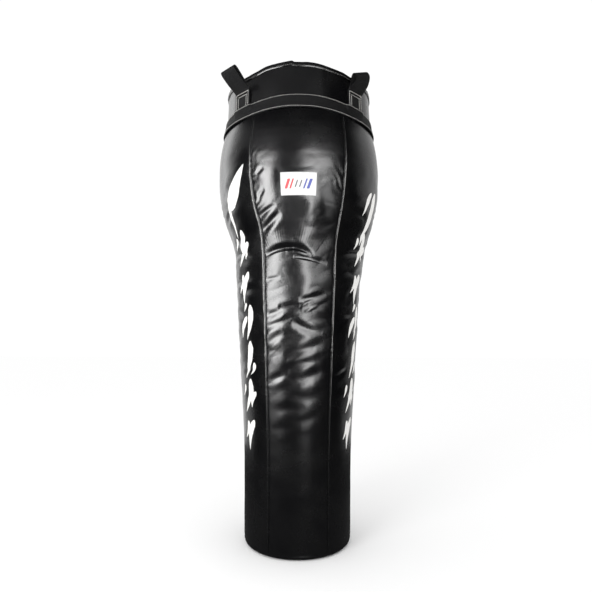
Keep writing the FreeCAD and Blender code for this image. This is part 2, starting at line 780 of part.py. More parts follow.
def add_bridge(body):
    """The arch on the upper plate that holds the bar of the pull."""
    arch = Outline(body, "YZ_Plane")
    half, high, wall = SIZE["bridge_long"] / 2, SIZE["bridge_high"], SIZE["bridge_wall"]
    plate_top = SIZE["teeth_mid"] + SIZE["plate_gap"] + SIZE["plate_thick"]
    plate_text = "teeth_mid + plate_gap + plate_thick"
    sunk, sunk_text = plate_top - SIZE["bridge_sunk"], plate_text + " - bridge_sunk"
    arch.polygon(
        [
            (-half, sunk, "-1 * bridge_long / 2", sunk_text),
            (-half + wall, sunk, "-1 * bridge_long / 2 + bridge_wall", sunk_text),
            (
                -half + wall,
                plate_top + high - wall,
                "-1 * bridge_long / 2 + bridge_wall",
                plate_text + " + bridge_high - bridge_wall",
            ),
            (
                half - wall,
                plate_top + high - wall,
                "bridge_long / 2 - bridge_wall",
                plate_text + " + bridge_high - bridge_wall",
            ),
            (half - wall, sunk, "bridge_long / 2 - bridge_wall", sunk_text),
            (half, sunk, "bridge_long / 2", sunk_text),
            (half, plate_top + high, "bridge_long / 2", plate_text + " + bridge_high"),
            (-half, plate_top + high, "-1 * bridge_long / 2", plate_text + " + bridge_high"),
        ]
    )
    extrude(body, arch, "2 * bridge_half", "bridge")


def make_zip_pull():
    """The pull tab: a flat tab with a window round the bridge and a round bar through it."""
    body = new_body("zip_pull")
    half, window = SIZE["pull_half"], SIZE["pull_window_half"]
    reach, thick = SIZE["pull_long"], SIZE["pull_thick"]
    tab = Outline(body, "XY_Plane")
    near = SIZE["pull_window_long"]
    tab.polygon(
        [
            (half, 0.0, "pull_half", "0"),
            (half, -reach, "pull_half", "-1 * pull_long"),
            (-half, -reach, "-1 * pull_half", "-1 * pull_long"),
            (-half, 0.0, "-1 * pull_half", "0"),
            (-window, 0.0, "-1 * pull_window_half", "0"),
            (-window, -near, "-1 * pull_window_half", "-1 * pull_window_long"),
            (window, -near, "pull_window_half", "-1 * pull_window_long"),
            (window, 0.0, "pull_window_half", "0"),
        ]
    )
    extrude(body, tab, "pull_thick", "tab")
    bar = Outline(body, "YZ_Plane")
    ring = bar.circle((0, 0), thick / 2)
    bar.join(ring, CENTRE, ORIGIN, ORIGIN_POINT)
    bar.size("Radius", (ring,), thick / 2, "pull_thick / 2")
    extrude(body, bar, "2 * pull_half", "bar")
    eye = Outline(body, "XY_Plane")
    hole = SIZE["pull_hole_radius"]
    ring = eye.circle((0, -reach + 2 * hole), hole)
    eye.tie("PointOnObject", ring, CENTRE, -2)
    eye.place(ring, CENTRE, (0, -reach + 2 * hole), None, "-1 * pull_long + 2 * pull_hole_radius")
    eye.size("Radius", (ring,), hole, "pull_hole_radius")
    cut(body, eye, "2 * pull_thick", "eye")
    plate_top = SIZE["teeth_mid"] + SIZE["plate_gap"] + SIZE["plate_thick"]
    pivot = Vector(0, SIZE["slider_rest"], plate_top + SIZE["pull_pivot_rise"])
    body.Placement = Placement(pivot, Rotation())


def make_label():
    """The sewn label on the front of the belly, bent to the belly's outline."""
    body = new_body("front_label")
    outline = Outline(body)
    low = SIZE["label_middle"] - SIZE["label_high"] / 2
    high = SIZE["label_middle"] + SIZE["label_high"] / 2
    middle = (SIZE["belly_radius"] - SIZE["belly_curve"], SIZE["belly_height"])
    arcs = []
    for offset, text in (
        (SIZE["layer_gap"], "layer_gap"),
        (SIZE["layer_gap"] + SIZE["label_thick"], "layer_gap + label_thick"),
    ):
        radius = SIZE["belly_curve"] + offset
        low_turn, high_turn = (
            math.degrees(math.asin((height - middle[1]) / radius)) for height in (low, high)
        )
        arc = outline.arc(middle, radius, low_turn, high_turn)
        outline.size("Radius", (arc,), radius, f"belly_curve + {text}")
        outline.size(
            "DistanceX",
            (arc, CENTRE, ORIGIN, ORIGIN_POINT),
            -middle[0],
            "belly_curve - belly_radius",
        )
        outline.place(arc, CENTRE, middle, None, "belly_height")
        outline.place(arc, START, (0, low), None, "label_middle - label_high / 2")
        outline.place(arc, END, (0, high), None, "label_middle + label_high / 2")
        arcs.append(arc)
    for end in (START, END):
        ends = [outline.sketch.getPoint(arc, end) for arc in arcs]
        closing = outline.line((ends[0].x, ends[0].y), (ends[1].x, ends[1].y))
        outline.join(arcs[0], end, closing, START)
        outline.join(arcs[1], end, closing, END)
    revolve(body, outline, "label_span")
    body.Placement = turned_about_axis(FRONT)


def sub_parts():
    """Every finished sub-part of the document."""
    return [
        item
        for item in doc.Objects
        if item.TypeId in ("PartDesign::Body", "Part::Box")
    ]


def check_document():
    """Stops the build if any object failed or any sub-part has no valid solid."""
    for item in doc.Objects:
        if {"Invalid", "Error"} & set(item.State):
            raise RuntimeError(f"{item.Label} failed: {item.State}")
    for item in sub_parts():
        shape = item.Shape
        if shape.isNull() or not shape.isValid() or not shape.Solids:
            raise RuntimeError(f"{item.Label} has no valid solid")


def write_parts():
    """Writes each sub-part to its own STEP file and prints its volume."""
    os.makedirs("parts", exist_ok=True)
    for item in sub_parts():
        item.Shape.exportStep(f"parts/{item.Label}.step")
        print(f"{item.Label}: {item.Shape.Volume / 1000:.1f} cm3")


fill_sheet()
make_wall_panels()
make_base_disc()
make_collar()
make_inside()
make_band()
make_strap_tails()
make_strap_loops()
make_lid()
make_binding()
make_zip_tapes()
make_zip_rows()
make_zip_stops()
make_zip_slider()
make_zip_pull()
make_label()
doc.recompute()
check_document()
write_parts()
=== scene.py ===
# %% [markdown]
# # A leather angle bag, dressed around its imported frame
#
# An angle bag is a heavy punching bag that is broad at the shoulders and narrow at the foot.
# Six long leather panels make its wall, a webbing band covers the seam where they meet the
# collar, and four webbing straps hang it up. The frame gives every place and size, so each
# piece here starts from the frame and adds what leather, webbing and thread really look like.

# %% The frame and the tools
import json
import math
import random

import bmesh
import bpy
import numpy as np
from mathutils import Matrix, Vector, noise
from mathutils.bvhtree import BVHTree


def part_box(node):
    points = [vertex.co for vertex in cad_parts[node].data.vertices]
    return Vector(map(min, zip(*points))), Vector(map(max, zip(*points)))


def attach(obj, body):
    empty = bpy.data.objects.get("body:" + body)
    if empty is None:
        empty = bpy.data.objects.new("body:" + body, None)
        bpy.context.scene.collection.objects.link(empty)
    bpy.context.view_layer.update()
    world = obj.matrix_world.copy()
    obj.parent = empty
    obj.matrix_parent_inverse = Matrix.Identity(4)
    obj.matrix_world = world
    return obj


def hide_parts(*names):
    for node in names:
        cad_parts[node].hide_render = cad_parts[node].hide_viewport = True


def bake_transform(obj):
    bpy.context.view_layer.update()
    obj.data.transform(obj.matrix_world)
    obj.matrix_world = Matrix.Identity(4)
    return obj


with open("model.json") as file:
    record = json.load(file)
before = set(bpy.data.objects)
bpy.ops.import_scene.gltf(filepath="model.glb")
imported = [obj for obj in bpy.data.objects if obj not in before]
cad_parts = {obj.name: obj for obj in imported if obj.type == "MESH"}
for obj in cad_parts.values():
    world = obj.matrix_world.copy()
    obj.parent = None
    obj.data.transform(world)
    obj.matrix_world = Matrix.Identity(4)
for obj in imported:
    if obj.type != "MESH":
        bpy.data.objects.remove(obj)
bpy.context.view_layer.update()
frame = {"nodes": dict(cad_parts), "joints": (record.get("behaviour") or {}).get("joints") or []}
print("the frame's nodes:", len(frame["nodes"]))

# %% [markdown]
# ## The camera
#
# Something this tall is pictured from about waist height with the camera level, and the
# lens is shifted up a little so that the upright sides stay upright. Tilting the camera
# would work too, but then the bag's sides would lean together.

# %% Camera
EYE_HEIGHT = 0.552
EYE_DISTANCE = 1.36
CAMERA_ROLL = -0.2
LENS_MM = 30.22
SIDE_SHIFT = -0.0034
UP_SHIFT = 0.0684

camera = bpy.data.objects.new("camera", bpy.data.cameras.new("camera"))
bpy.context.collection.objects.link(camera)
camera.location = (0, -EYE_DISTANCE, EYE_HEIGHT)
camera.rotation_euler = (math.radians(90), math.radians(CAMERA_ROLL), 0)
camera.data.lens = LENS_MM
camera.data.shift_x = SIDE_SHIFT
camera.data.shift_y = UP_SHIFT
camera.data.clip_start = 0.01
bpy.context.scene.camera = camera
print("camera at", tuple(camera.location))

# %% [markdown]
# ## The outline, read from the frame
#
# Every soft piece follows the same outline. It could be typed in again, but then it could
# drift from the CAD. Instead a ray is cast at the frame's front panel and collar from
# outside at each height, and where it lands is the radius there.

# %% Places round the bag and up the outline
MM = 0.001
GORES = 6
HALF_GORE = math.pi / GORES
FOOT_ROUND = 12 * MM
FOOT_TOP = 0.1
OUTLINE_STEP = 3 * MM
OUTLINE_SMOOTHING = 4 * MM


def around(angle, radius, height):
    """Points at angles from the front, positive towards +X, at these radii and heights."""
    angle, radius, height = np.broadcast_arrays(angle, radius, height)
    return np.stack([radius * np.sin(angle), -radius * np.cos(angle), height], axis=-1)


def tree_of(meshes):
    """One search tree over all the faces of these meshes."""
    points, faces = [], []
    for mesh in meshes:
        first = len(points)
        points += [vertex.co.copy() for vertex in mesh.vertices]
        faces += [[first + k for k in face.vertices] for face in mesh.polygons]
    return BVHTree.FromPolygons(points, faces)


def read_outline(step):
    """Heights and the wall's radius at each, along the middle of the front."""
    tree = tree_of([frame["nodes"][name].data for name in ("front_panel", "collar")])
    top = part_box("collar")[1].z
    heights = np.arange(step / 2, top, step)
    hits = [tree.ray_cast(Vector((0, -1, z)), Vector((0, 1, 0)))[0] for z in heights]
    found = [(z, -hit.y) for z, hit in zip(heights, hits) if hit]
    return np.array(found).T


outline_heights, outline_radii = read_outline(OUTLINE_STEP)
foot_radius = float(np.interp(FOOT_TOP, outline_heights, outline_radii))
base_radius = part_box("base_disc")[1].x
seam_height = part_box("front_panel")[1].z
rim_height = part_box("collar")[1].z


def wall_radius(height):
    """The smooth outline's radius at a height above the rounded foot."""
    window = np.linspace(-OUTLINE_SMOOTHING, OUTLINE_SMOOTHING, 5)
    spread = np.asarray(height)[..., None] + window
    return np.interp(spread, outline_heights, outline_radii).mean(axis=-1)


print(f"outline: {len(outline_heights)} heights, foot {foot_radius * 1000:.1f} mm")

# %% [markdown]
# ## Sheets of leather and webbing
#
# Leather, webbing and labels are all sheets with a thickness. Blender's Solidify modifier
# could thicken a surface, but here both faces are known exactly, so each piece is written
# as two grids of points that are joined round their edges: a closed slab with clean quads.


# %% A slab from two grids
def quads_of(grid):
    """Four-cornered faces over a grid of vertex numbers."""
    corners = (grid[:-1, :-1], grid[:-1, 1:], grid[1:, 1:], grid[1:, :-1])
    return np.stack([corner.ravel() for corner in corners], axis=-1)


def slab(name, outer, inner, wrap=False, flat=None):
    """A closed mesh between two grids of points. wrap joins the last column to the first,
    and flat gives each point its place on the cut sheet, in metres, for woven patterns."""
    rows, columns = outer.shape[:2]
    front = np.arange(rows * columns).reshape(rows, columns)
    if wrap:
        front = np.hstack([front, front[:, :1]])
    back = front + rows * columns
    faces = [quads_of(front), quads_of(back)]
    faces += [quads_of(np.stack([front[k], back[k]])) for k in (0, -1)]
    if not wrap:
        faces += [quads_of(np.stack([front[:, k], back[:, k]])) for k in (0, -1)]
    mesh = bpy.data.meshes.new(name)
    points = np.concatenate([outer.reshape(-1, 3), inner.reshape(-1, 3)])
    mesh.from_pydata(points.tolist(), [], np.concatenate(faces).tolist())
    turn_outward(mesh)
    if flat is not None:
        places = np.concatenate([flat.reshape(-1, 2)] * 2)
        add_flat_places(mesh, places)
    return mesh


def turn_outward(mesh):
    """Points every face's normal out of the closed mesh."""
    work = bmesh.new()
    work.from_mesh(mesh)
    bmesh.ops.recalc_face_normals(work, faces=work.faces)
    work.to_mesh(mesh)
    work.free()


def add_flat_places(mesh, places):
    """Stores each vertex's place on the cut sheet as UV, in metres."""
    layer = mesh.uv_layers.new(name="cut_sheet")
    corners = np.empty(len(mesh.loops), dtype=int)
    mesh.loops.foreach_get("vertex_index", corners)
    layer.data.foreach_set("uv", places[corners].astype(np.float32).ravel())


def add_piece(name, mesh, material, body, replaces=(), sharp=50):
    """Puts a mesh in the scene as a piece that rides on a body of the frame, or on none if no
    body is given, and hides the frame's parts it replaces."""
    piece = bpy.data.objects.new(name, mesh)
    bpy.context.collection.objects.link(piece)
    mesh.materials.append(material)
    mesh.shade_smooth()
    mesh.set_sharp_from_angle(angle=math.radians(sharp))
    if body:
        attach(piece, body)
    if replaces:
        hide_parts(*replaces)
    return piece


# %% [markdown]
# ## Materials: the small tools
#
# A material is a small machine of nodes. One function adds any node: what it is, what its
# own settings are, and what goes into its sockets. Colours are written as they look on a
# screen, in hex, and turned into the linear light that a renderer adds up.


# %% Nodes and colours
def linear(hex_colour):
    """An sRGB hex colour as linear red, green, blue and alpha."""
    parts = [int(hex_colour[k : k + 2], 16) / 255 for k in (1, 3, 5)]
    light = [c / 12.92 if c <= 0.04045 else ((c + 0.055) / 1.055) ** 2.4 for c in parts]
    return (*light, 1.0)


def node(tree, kind, sockets=None, **settings):
    """Adds a node. A socket is given another node's output, or a value of its own."""
    added = tree.nodes.new(kind)
    for key, value in settings.items():
        setattr(added, key, value)
    for key, value in (sockets or {}).items():
        if isinstance(value, bpy.types.NodeSocket):
            tree.links.new(value, added.inputs[key])
        else:
            added.inputs[key].default_value = value
    return added


def new_material(name):
    """An empty material and its node tree."""
    material = bpy.data.materials.new(name)
    material.use_nodes = True
    material.node_tree.nodes.clear()
    return material, material.node_tree


def two_tones(tree, factor, colour, other):
    """A slow change from one colour to another as the factor rises."""
    tone = node(tree, "ShaderNodeValToRGB", {"Fac": factor})
    for stop, place, shade in zip(tone.color_ramp.elements, (0.35, 0.65), (colour, other)):
        stop.position = place
        stop.color = linear(shade)
    return tone


def finish_material(tree, sockets):
    """Ends a material in a Principled shader with these sockets."""
    shader = node(tree, "ShaderNodeBsdfPrincipled", sockets)
    node(tree, "ShaderNodeOutputMaterial", {"Surface": shader.outputs["BSDF"]})


# %% [markdown]
# ## Coated leather
#
# The wall is split leather with a polyurethane top coat, embossed with a fine grain and
# polished by its rollers. The eye reads that as near-black with long highlights that have
# soft edges, and a pebble grain of about a millimetre that only shows close up. Cells from
# a Voronoi pattern are the pebbles, coarser noise is the pores, and slow noise varies the
# polish as handling does.


# %% Coated leather
PEBBLE = 1.5 * MM
PORE = 4 * MM
HANDLING = 60 * MM


def coated_leather(name, polish):
    """Black coated leather; polish is its middle roughness."""
    material, tree = new_material(name)
    place = node(tree, "ShaderNodeTexCoord").outputs["Object"]
    pebbles = node(
        tree,
        "ShaderNodeTexVoronoi",
        {"Vector": place, "Scale": 1 / PEBBLE, "Smoothness": 0.6},
        feature="SMOOTH_F1",
    )
    pores = node(tree, "ShaderNodeTexNoise", {"Vector": place, "Scale": 1 / PORE, "Detail": 3.0})
    grain = node(
        tree,
        "ShaderNodeBump",
        {"Height": pebbles.outputs["Distance"], "Strength": 0.22, "Distance": 0.25 * MM},
    )
    grain = node(
        tree,
        "ShaderNodeBump",
        {
            "Height": pores.outputs["Fac"],
            "Strength": 0.25,
            "Distance": 0.4 * MM,
            "Normal": grain.outputs["Normal"],
        },
    )
    handling = node(
        tree, "ShaderNodeTexNoise", {"Vector": place, "Scale": 1 / HANDLING, "Detail": 4.0}
    )
    rough = node(
        tree,
        "ShaderNodeMapRange",
        {
            "Value": handling.outputs["Fac"],
            "From Min": 0.3,
            "From Max": 0.7,
            "To Min": polish - 0.03,
            "To Max": polish + 0.04,
        },
    )
    tone = two_tones(tree, handling.outputs["Fac"], "#08080a", "#0c0c0d")
    finish_material(
        tree,
        {
            "Base Color": tone.outputs["Color"],
            "Roughness": rough.outputs["Result"],
            "IOR": 1.5,
            "Normal": grain.outputs["Normal"],
        },
    )
    return material


wall_leather = coated_leather("coated_leather_wall", 0.25)
print("materials:", wall_leather.name)

# %% [markdown]
# ## Webbing, thread and cloth
#
# Strap and band are polyester webbing: flat yarns a couple of millimetres wide, woven so
# that each row is offset by half a yarn from the next. A brick pattern has just that
# layout, with the bricks as yarns that show and the mortar as the gaps between them. It is
# laid out on the cut sheet, so the weave follows each strap round its bends.


# %% Woven webbing
def woven(name, colours, yarn, ply, rough, gloss, height=0.35 * MM):
    """A woven sheet: yarn is the length of one float along the sheet, ply its width."""
    material, tree = new_material(name)
    sheet_place = node(tree, "ShaderNodeUVMap", uv_map="cut_sheet").outputs["UV"]
    weave = node(
        tree,
        "ShaderNodeTexBrick",
        {
            "Vector": sheet_place,
            "Color1": linear(colours[0]),
            "Color2": linear(colours[1]),
            "Mortar": linear(colours[2]),
            "Scale": 1.0,
            "Mortar Size": ply * 0.14,
            "Mortar Smooth": 1.0,
            "Brick Width": yarn,
            "Row Height": ply,
        },
    )
    fuzz = node(
        tree, "ShaderNodeTexNoise", {"Vector": sheet_place, "Scale": 1 / (0.7 * MM)}
    )
    relief = node(
        tree,
        "ShaderNodeBump",
        {"Height": weave.outputs["Fac"], "Strength": 0.8, "Distance": height},
        invert=True,
    )
    relief = node(
        tree,
        "ShaderNodeBump",
        {
            "Height": fuzz.outputs["Fac"],
            "Strength": 0.3,
            "Distance": height,
            "Normal": relief.outputs["Normal"],
        },
    )
    finish_material(
        tree,
        {
            "Base Color": weave.outputs["Color"],
            "Roughness": rough,
            "Specular IOR Level": gloss,
            "Sheen Weight": 0.03,
            "Sheen Roughness": 0.4,
            "Normal": relief.outputs["Normal"],
        },
    )
    return material


webbing = woven(
    "polyester_webbing", ("#08080a", "#0d0d0f", "#020203"), 3.2 * MM, 1.5 * MM, 0.6, 0.15
)
label_cloth = woven(
    "satin_label_cloth", ("#ececea", "#e4e4e2", "#dadad7"), 0.9 * MM, 0.5 * MM, 0.5, 0.3, 0.05 * MM
)
print("materials:", webbing.name, label_cloth.name)

# %% [markdown]
# ## Thread, print and small finishes
#
# The bag is sewn with bonded polyester thread, which is matt and nearly white, and waxed
# where it runs through the binding. One function makes all such plain finishes: two close
# tones that drift over a real distance, and a fine unevenness of the same size. The seams'
# thread carries painted shade instead: its colour is painted darker at the foot and just
# under the band, so it follows the height.


# %% Sewing thread
def solid_finish(name, colour, other, rough, scale, relief):
    """A finish with a slow change of tone and a fine uneven surface."""
    material, tree = new_material(name)
    place = node(tree, "ShaderNodeTexCoord").outputs["Object"]
    cloud = node(
        tree, "ShaderNodeTexNoise", {"Vector": place, "Scale": 1 / scale, "Detail": 3.0}
    )
    tone = two_tones(tree, cloud.outputs["Fac"], colour, other)
    bump = node(
        tree,
        "ShaderNodeBump",
        {"Height": cloud.outputs["Fac"], "Strength": 0.4, "Distance": relief},
    )
    finish_material(
        tree,
        {
            "Base Color": tone.outputs["Color"],
            "Roughness": rough,
            "Normal": bump.outputs["Normal"],
        },
    )
    return material


white_thread = solid_finish(
    "bonded_polyester_thread", "#e9e7e2", "#f4f2ee", 0.6, 0.8 * MM, 0.2 * MM
)
rim_thread = solid_finish("waxed_rim_thread", "#6f6e6c", "#8a8986", 0.5, 12 * MM, 0.2 * MM)
hem_thread = solid_finish("grey_hem_thread", "#a9a9ae", "#b8b8bc", 0.6, 0.8 * MM, 0.1 * MM)


# %% Seam thread, with painted shade at the foot and under the band
# painted shade: the seam thread is painted darker low on the wall and just under the band
THREAD_PAINTED_SHADE = (
    # height in metres, colour
    (0.36, "#131313"),
    (0.60, "#b4b2ad"),
    (0.94, "#b4b2ad"),
    (0.99, "#1a1a1a"),
)


def thread_with_painted_shade(name, tones):
    """Thread whose colour is painted darker by height: a painted shade."""
    material, tree = new_material(name)
    place = node(tree, "ShaderNodeTexCoord").outputs["Object"]
    height = node(tree, "ShaderNodeSeparateXYZ", {"Vector": place}).outputs["Z"]
    tone = node(tree, "ShaderNodeValToRGB", {"Fac": height})
    stops = tone.color_ramp.elements
    for level, _ in tones[2:]:
        stops.new(level)
    for stop, (level, shade) in zip(stops, tones):
        stop.position = level
        stop.color = linear(shade)
    finish_material(tree, {"Base Color": tone.outputs["Color"], "Roughness": 0.6})
    return material


seam_thread = thread_with_painted_shade("seam_thread_painted_shade", THREAD_PAINTED_SHADE)
print_ink = solid_finish("white_screen_print", "#e9e8e5", "#f4f3f0", 0.42, 3 * MM, 0.05 * MM)

# %% [markdown]
# ## The wall's relief
#
# A new bag is packed hard, but its leather is never smooth. Each panel lies a little
# flatter than a true circle between its seams, the seams pull in, the thread puckers the
# edges, lumps of cloth press from inside, and the hollow under the belly creases where the
# belly sags over it. Each of these is one small height function, and a panel's relief is
# their sum. The foot is packed hardest and the band holds the top, so both stay smoother:
# each function fades in and out between two heights.

# %% Facets and seams
FACET = 2.0 * MM
SEAM_DEPTH = 2.6 * MM
SEAM_WIDTH = 1.5 * MM
SHOULDER_DEPTH = 0.4 * MM
SHOULDER_WIDTH = 5 * MM
FOOT_EDGE = 20 * MM
# heights in metres between which something fades in or out
SEAM_SHALLOWER = (0.97, 1.03)
LUMPS_START = (0.3, 0.55)
LUMPS_END = (0.94, 1.03)
FOLDS_QUIETER = (0.80, 0.88)
PUCKERS_START = (0.3, 0.45)
PUCKERS_STRONGER = (0.84, 0.9)
PUCKERS_WEAKER = (0.98, 1.02)
PUCKERS_END = (1.02, 1.06)


def smooth_step(low, high, value):
    """0 below low, 1 above high, and an even S between them."""
    share = np.clip((value - low) / (high - low), 0, 1)
    return share * share * (3 - 2 * share)


def cloud(points, size, seed):
    """Smooth noise from about -1 to 1 at these points, with lumps of this size."""
    shift = Vector((seed * 7.3, seed * 3.1, seed * 5.7))
    flat = points.reshape(-1, 3)
    values = [noise.noise(Vector(point) / size + shift) for point in flat]
    return np.array(values).reshape(points.shape[:-1])


def facet_and_seams(across, edge, height):
    """The panel's flattened middle, and the pull of the seam at each edge."""
    facet = FACET * (2 * across**2 - 1)
    depth = SEAM_DEPTH * (1 - 0.6 * smooth_step(*SEAM_SHALLOWER, height))
    pull = depth * np.exp(-((edge / SEAM_WIDTH) ** 2))
    shoulder = SHOULDER_DEPTH * np.exp(-((edge / SHOULDER_WIDTH) ** 2))
    return (facet - pull - shoulder) * smooth_step(0, FOOT_EDGE, height)


# %% Lumps of the filling and puckers of the seams
FOLD_RISE = math.radians(13)
LUMP = 70 * MM
SOFT_FOLD = 34 * MM
SHARP_FOLD = 25 * MM
PUCKER = 26 * MM


def packed_lumps(sheet, height):
    """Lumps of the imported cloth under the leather, and soft folds that rise to the right."""
    calm = 0.12 + 0.88 * smooth_step(*LUMPS_START, height)
    calm *= 1 - 0.85 * smooth_step(*LUMPS_END, height)
    large = cloud(sheet * (1, 1, 1.1), LUMP, 1)
    along = sheet[..., 0] * math.cos(FOLD_RISE) + sheet[..., 2] * math.sin(FOLD_RISE)
    over = sheet[..., 2] * math.cos(FOLD_RISE) - sheet[..., 0] * math.sin(FOLD_RISE)
    leaning = np.stack([along * 0.35, sheet[..., 1], over], axis=-1)
    folds = cloud(leaning, SOFT_FOLD, 2)
    sharp = np.abs(cloud(leaning * (1.5, 1, 1), SHARP_FOLD, 3)) - 0.22
    full = 1 - 0.55 * smooth_step(*FOLDS_QUIETER, height)
    return MM * (2.2 * large + (1.9 * folds + 1.3 * sharp) * full) * calm


def puckers(sheet, across, edge, height):
    """Short ridges that run up and inwards from each seam, where the thread pulls."""
    side = np.sign(across)
    reach = np.exp(-edge / (13 * MM))
    where = smooth_step(-0.1, 0.5, cloud(sheet * (0, 0, 1) + side[..., None] * 2, 0.11, 4))
    beat = (height - 0.8 * edge) / PUCKER + 1.6 * cloud(sheet, 45 * MM, 5)
    high = smooth_step(*PUCKERS_STRONGER, height) * (1 - smooth_step(*PUCKERS_WEAKER, height))
    strength = (0.45 + 0.75 * high) * (0.25 + 0.75 * where)
    calm = smooth_step(*PUCKERS_START, height) * (1 - smooth_step(*PUCKERS_END, height))
    return MM * strength * calm * reach * np.sin(2 * math.pi * beat)


# %% [markdown]
# A fold is where leather has bent and stayed: a soft valley with a low swell on each side.
# A tuck is deeper: the leather above bulges out and hangs over a narrow valley, whose lower
# wall is steep and catches the light. A ridge is a lip of leather that stands proud, and a
# swell is a broad bulge over a wad of cloth. Each fold, tuck or ridge is drawn as a curve
# through three points on its panel, in millimetres across and up, and the relief at a place
# depends on how far above or below that curve it lies.


# %% The sections of folds, tucks and ridges
def fold_profile(above, width):
    """A valley with a swell on each side, for distances above its line."""
    above = above / width
    swells = np.exp(-(((above - 1.9) / 1.1) ** 2)) + np.exp(-(((above + 1.9) / 1.1) ** 2))
    return 0.45 * swells - np.exp(-(above**2))


def tuck_profile(above, width):
    """A narrow valley with the leather above it hanging over."""
    wall = 1.2 * width
    below = -np.exp(-((above / (0.62 * width)) ** 2))
    hanging = (1 - np.exp(-((above / wall) ** 2))) * np.exp(-((above / (6 * width)) ** 2))
    return np.where(above < 0, below, 0.85 * hanging - np.exp(-((above / wall) ** 2)))


def ridge_profile(above, width):
    """A lip of leather that stands proud; its depth counts outwards."""
    return np.exp(-((above / width) ** 2))


# %% Relief along drawn curves
def relief_of(across, up, shapes, profile):
    """The relief of folds, tucks or ridges at places across and up their panel, in metres."""
    relief = np.zeros_like(across)
    for points, depth, width in shapes:
        start, middle, end = (np.array(point) * MM for point in points)
        share = np.linspace(0, 1, 33)[:, None]
        control = 2 * middle - (start + end) / 2
        curve = start * (1 - share) ** 2 + control * 2 * share * (1 - share) + end * share**2
        heading = np.gradient(curve, axis=0)
        heading /= np.linalg.norm(heading, axis=1)[:, None]
        reach = 12 * width * MM
        low, high = curve.min(0) - reach, curve.max(0) + reach
        near = (across > low[0]) & (across < high[0]) & (up > low[1]) & (up < high[1])
        places = np.stack([across[near], up[near]], axis=-1)
        away = places[:, None] - curve[None]
        closest = (away**2).sum(-1).argmin(1)
        picked = away[np.arange(len(places)), closest]
        side = heading[closest]
        above = side[:, 0] * picked[:, 1] - side[:, 1] * picked[:, 0]
        beyond = side[:, 0] * picked[:, 0] + side[:, 1] * picked[:, 1]
        taper = np.sin(math.pi * share[closest, 0]) ** 0.7
        taper *= np.exp(-((beyond / (width * MM)) ** 2))
        relief[near] += depth * MM * taper * profile(above, width * MM)
    return relief


# %% The front panel's folds
FRONT_TUCKS = (
    # (start, middle and end in mm across and up), depth, width
    (((-92, 744), (-22, 765), (36, 745)), 4.8, 7.5),
    (((-14, 743), (24, 739), (72, 727)), 2.8, 6.5),
)
FRONT_FOLDS = (
    (((-96, 838), (-78, 850), (-54, 862)), 1.8, 6.0),
    (((-92, 806), (-70, 822), (-44, 846)), 2.8, 8.0),
    (((-100, 884), (-92, 890), (-82, 899)), 1.2, 5.0),
    (((-104, 936), (-95, 941), (-84, 950)), 1.3, 5.5),
    (((-84, 690), (-66, 692), (-44, 696)), 1.2, 5.0),
    (((2, 640), (30, 645), (70, 656)), 2.0, 7.0),
    (((-50, 622), (-20, 625), (10, 620)), 1.9, 8.0),
    (((-84, 602), (-62, 606), (-38, 612)), 2.4, 9.0),
    (((-14, 592), (14, 574), (62, 560)), 2.2, 8.5),
    (((-82, 574), (-50, 586), (-16, 596)), 1.6, 8.0),
    (((-34, 502), (14, 520), (66, 540)), 2.0, 11.0),
    (((-36, 466), (12, 486), (62, 508)), 1.8, 11.0),
    (((-80, 532), (-60, 547), (-36, 562)), 1.8, 9.0),
    (((-24, 446), (20, 452), (60, 470)), 1.6, 12.0),
    (((-78, 436), (-56, 450), (-32, 460)), 1.4, 9.0),
    (((-20, 396), (24, 400), (62, 412)), 1.2, 12.0),
    (((-60, 366), (-24, 376), (20, 374)), 1.0, 10.0),
    (((-16, 344), (20, 346), (56, 362)), 1.0, 11.0),
    (((-64, 318), (-30, 328), (8, 326)), 0.8, 12.0),
    (((52, 900), (66, 860), (70, 812)), 1.4, 15.0),
)
FRONT_RIDGES = (
    (((-18, 788), (12, 781), (34, 770)), 1.1, 7.0),
    (((2, 623), (18, 632), (38, 641)), 1.1, 3.5),
    (((16, 611), (32, 619), (52, 629)), 1.1, 3.5),
)
FRONT_SWELLS = (
    # (middle in mm across and up), half width, half height, rise
    ((-76, 924), 24, 46, 2.2),
    ((-60, 806), 28, 24, 2.0),
    ((27, 858), 20, 30, 2.2),
)


def swells(across, up):
    """Broad bulges where a wad of cloth has packed hard against the leather."""
    relief = np.zeros_like(across)
    for (x, z), wide, high, rise in FRONT_SWELLS:
        away = ((across - x * MM) / (wide * MM)) ** 2 + ((up - z * MM) / (high * MM)) ** 2
        relief += rise * MM * np.exp(-away)
    return relief


# %% The other panels' folds
def chance_folds(seed):
    """Tucks and folds for a panel that has none drawn: one tuck at the neck, and folds."""
    draw = random.Random(seed)
    rise = draw.uniform(-8, 10)
    tucks = [(((-80, 748 + rise), (-10, 764), (50, 750 - rise)), 3.2, 7.0)]
    folds = []
    for height in (400, 470, 560, 610, 655, 705, 800, 850, 900):
        start = draw.uniform(-80, 10)
        middle = start + draw.uniform(20, 40)
        end = middle + draw.uniform(20, 40)
        lean = draw.uniform(-6, 16)
        base = height + draw.uniform(-14, 14)
        points = ((start, base - lean), (middle, base + draw.uniform(-4, 8)), (end, base + lean))
        folds.append((points, draw.uniform(0.9, 2.0), draw.uniform(6, 10)))
    return tucks, folds


print("front folds:", len(FRONT_FOLDS), "and tucks:", len(FRONT_TUCKS))

# %% [markdown]
# ## The six wall panels
#
# Each panel is a grid from the base seam to the band. Its columns crowd at the seams,
# where the leather turns in sharply, and the front panel has a finer grid because its
# creases are seen from nearest. Under the label the leather is held flat. The front panel
# is cut wider than an even sixth, so its two seams stand further round the bag.

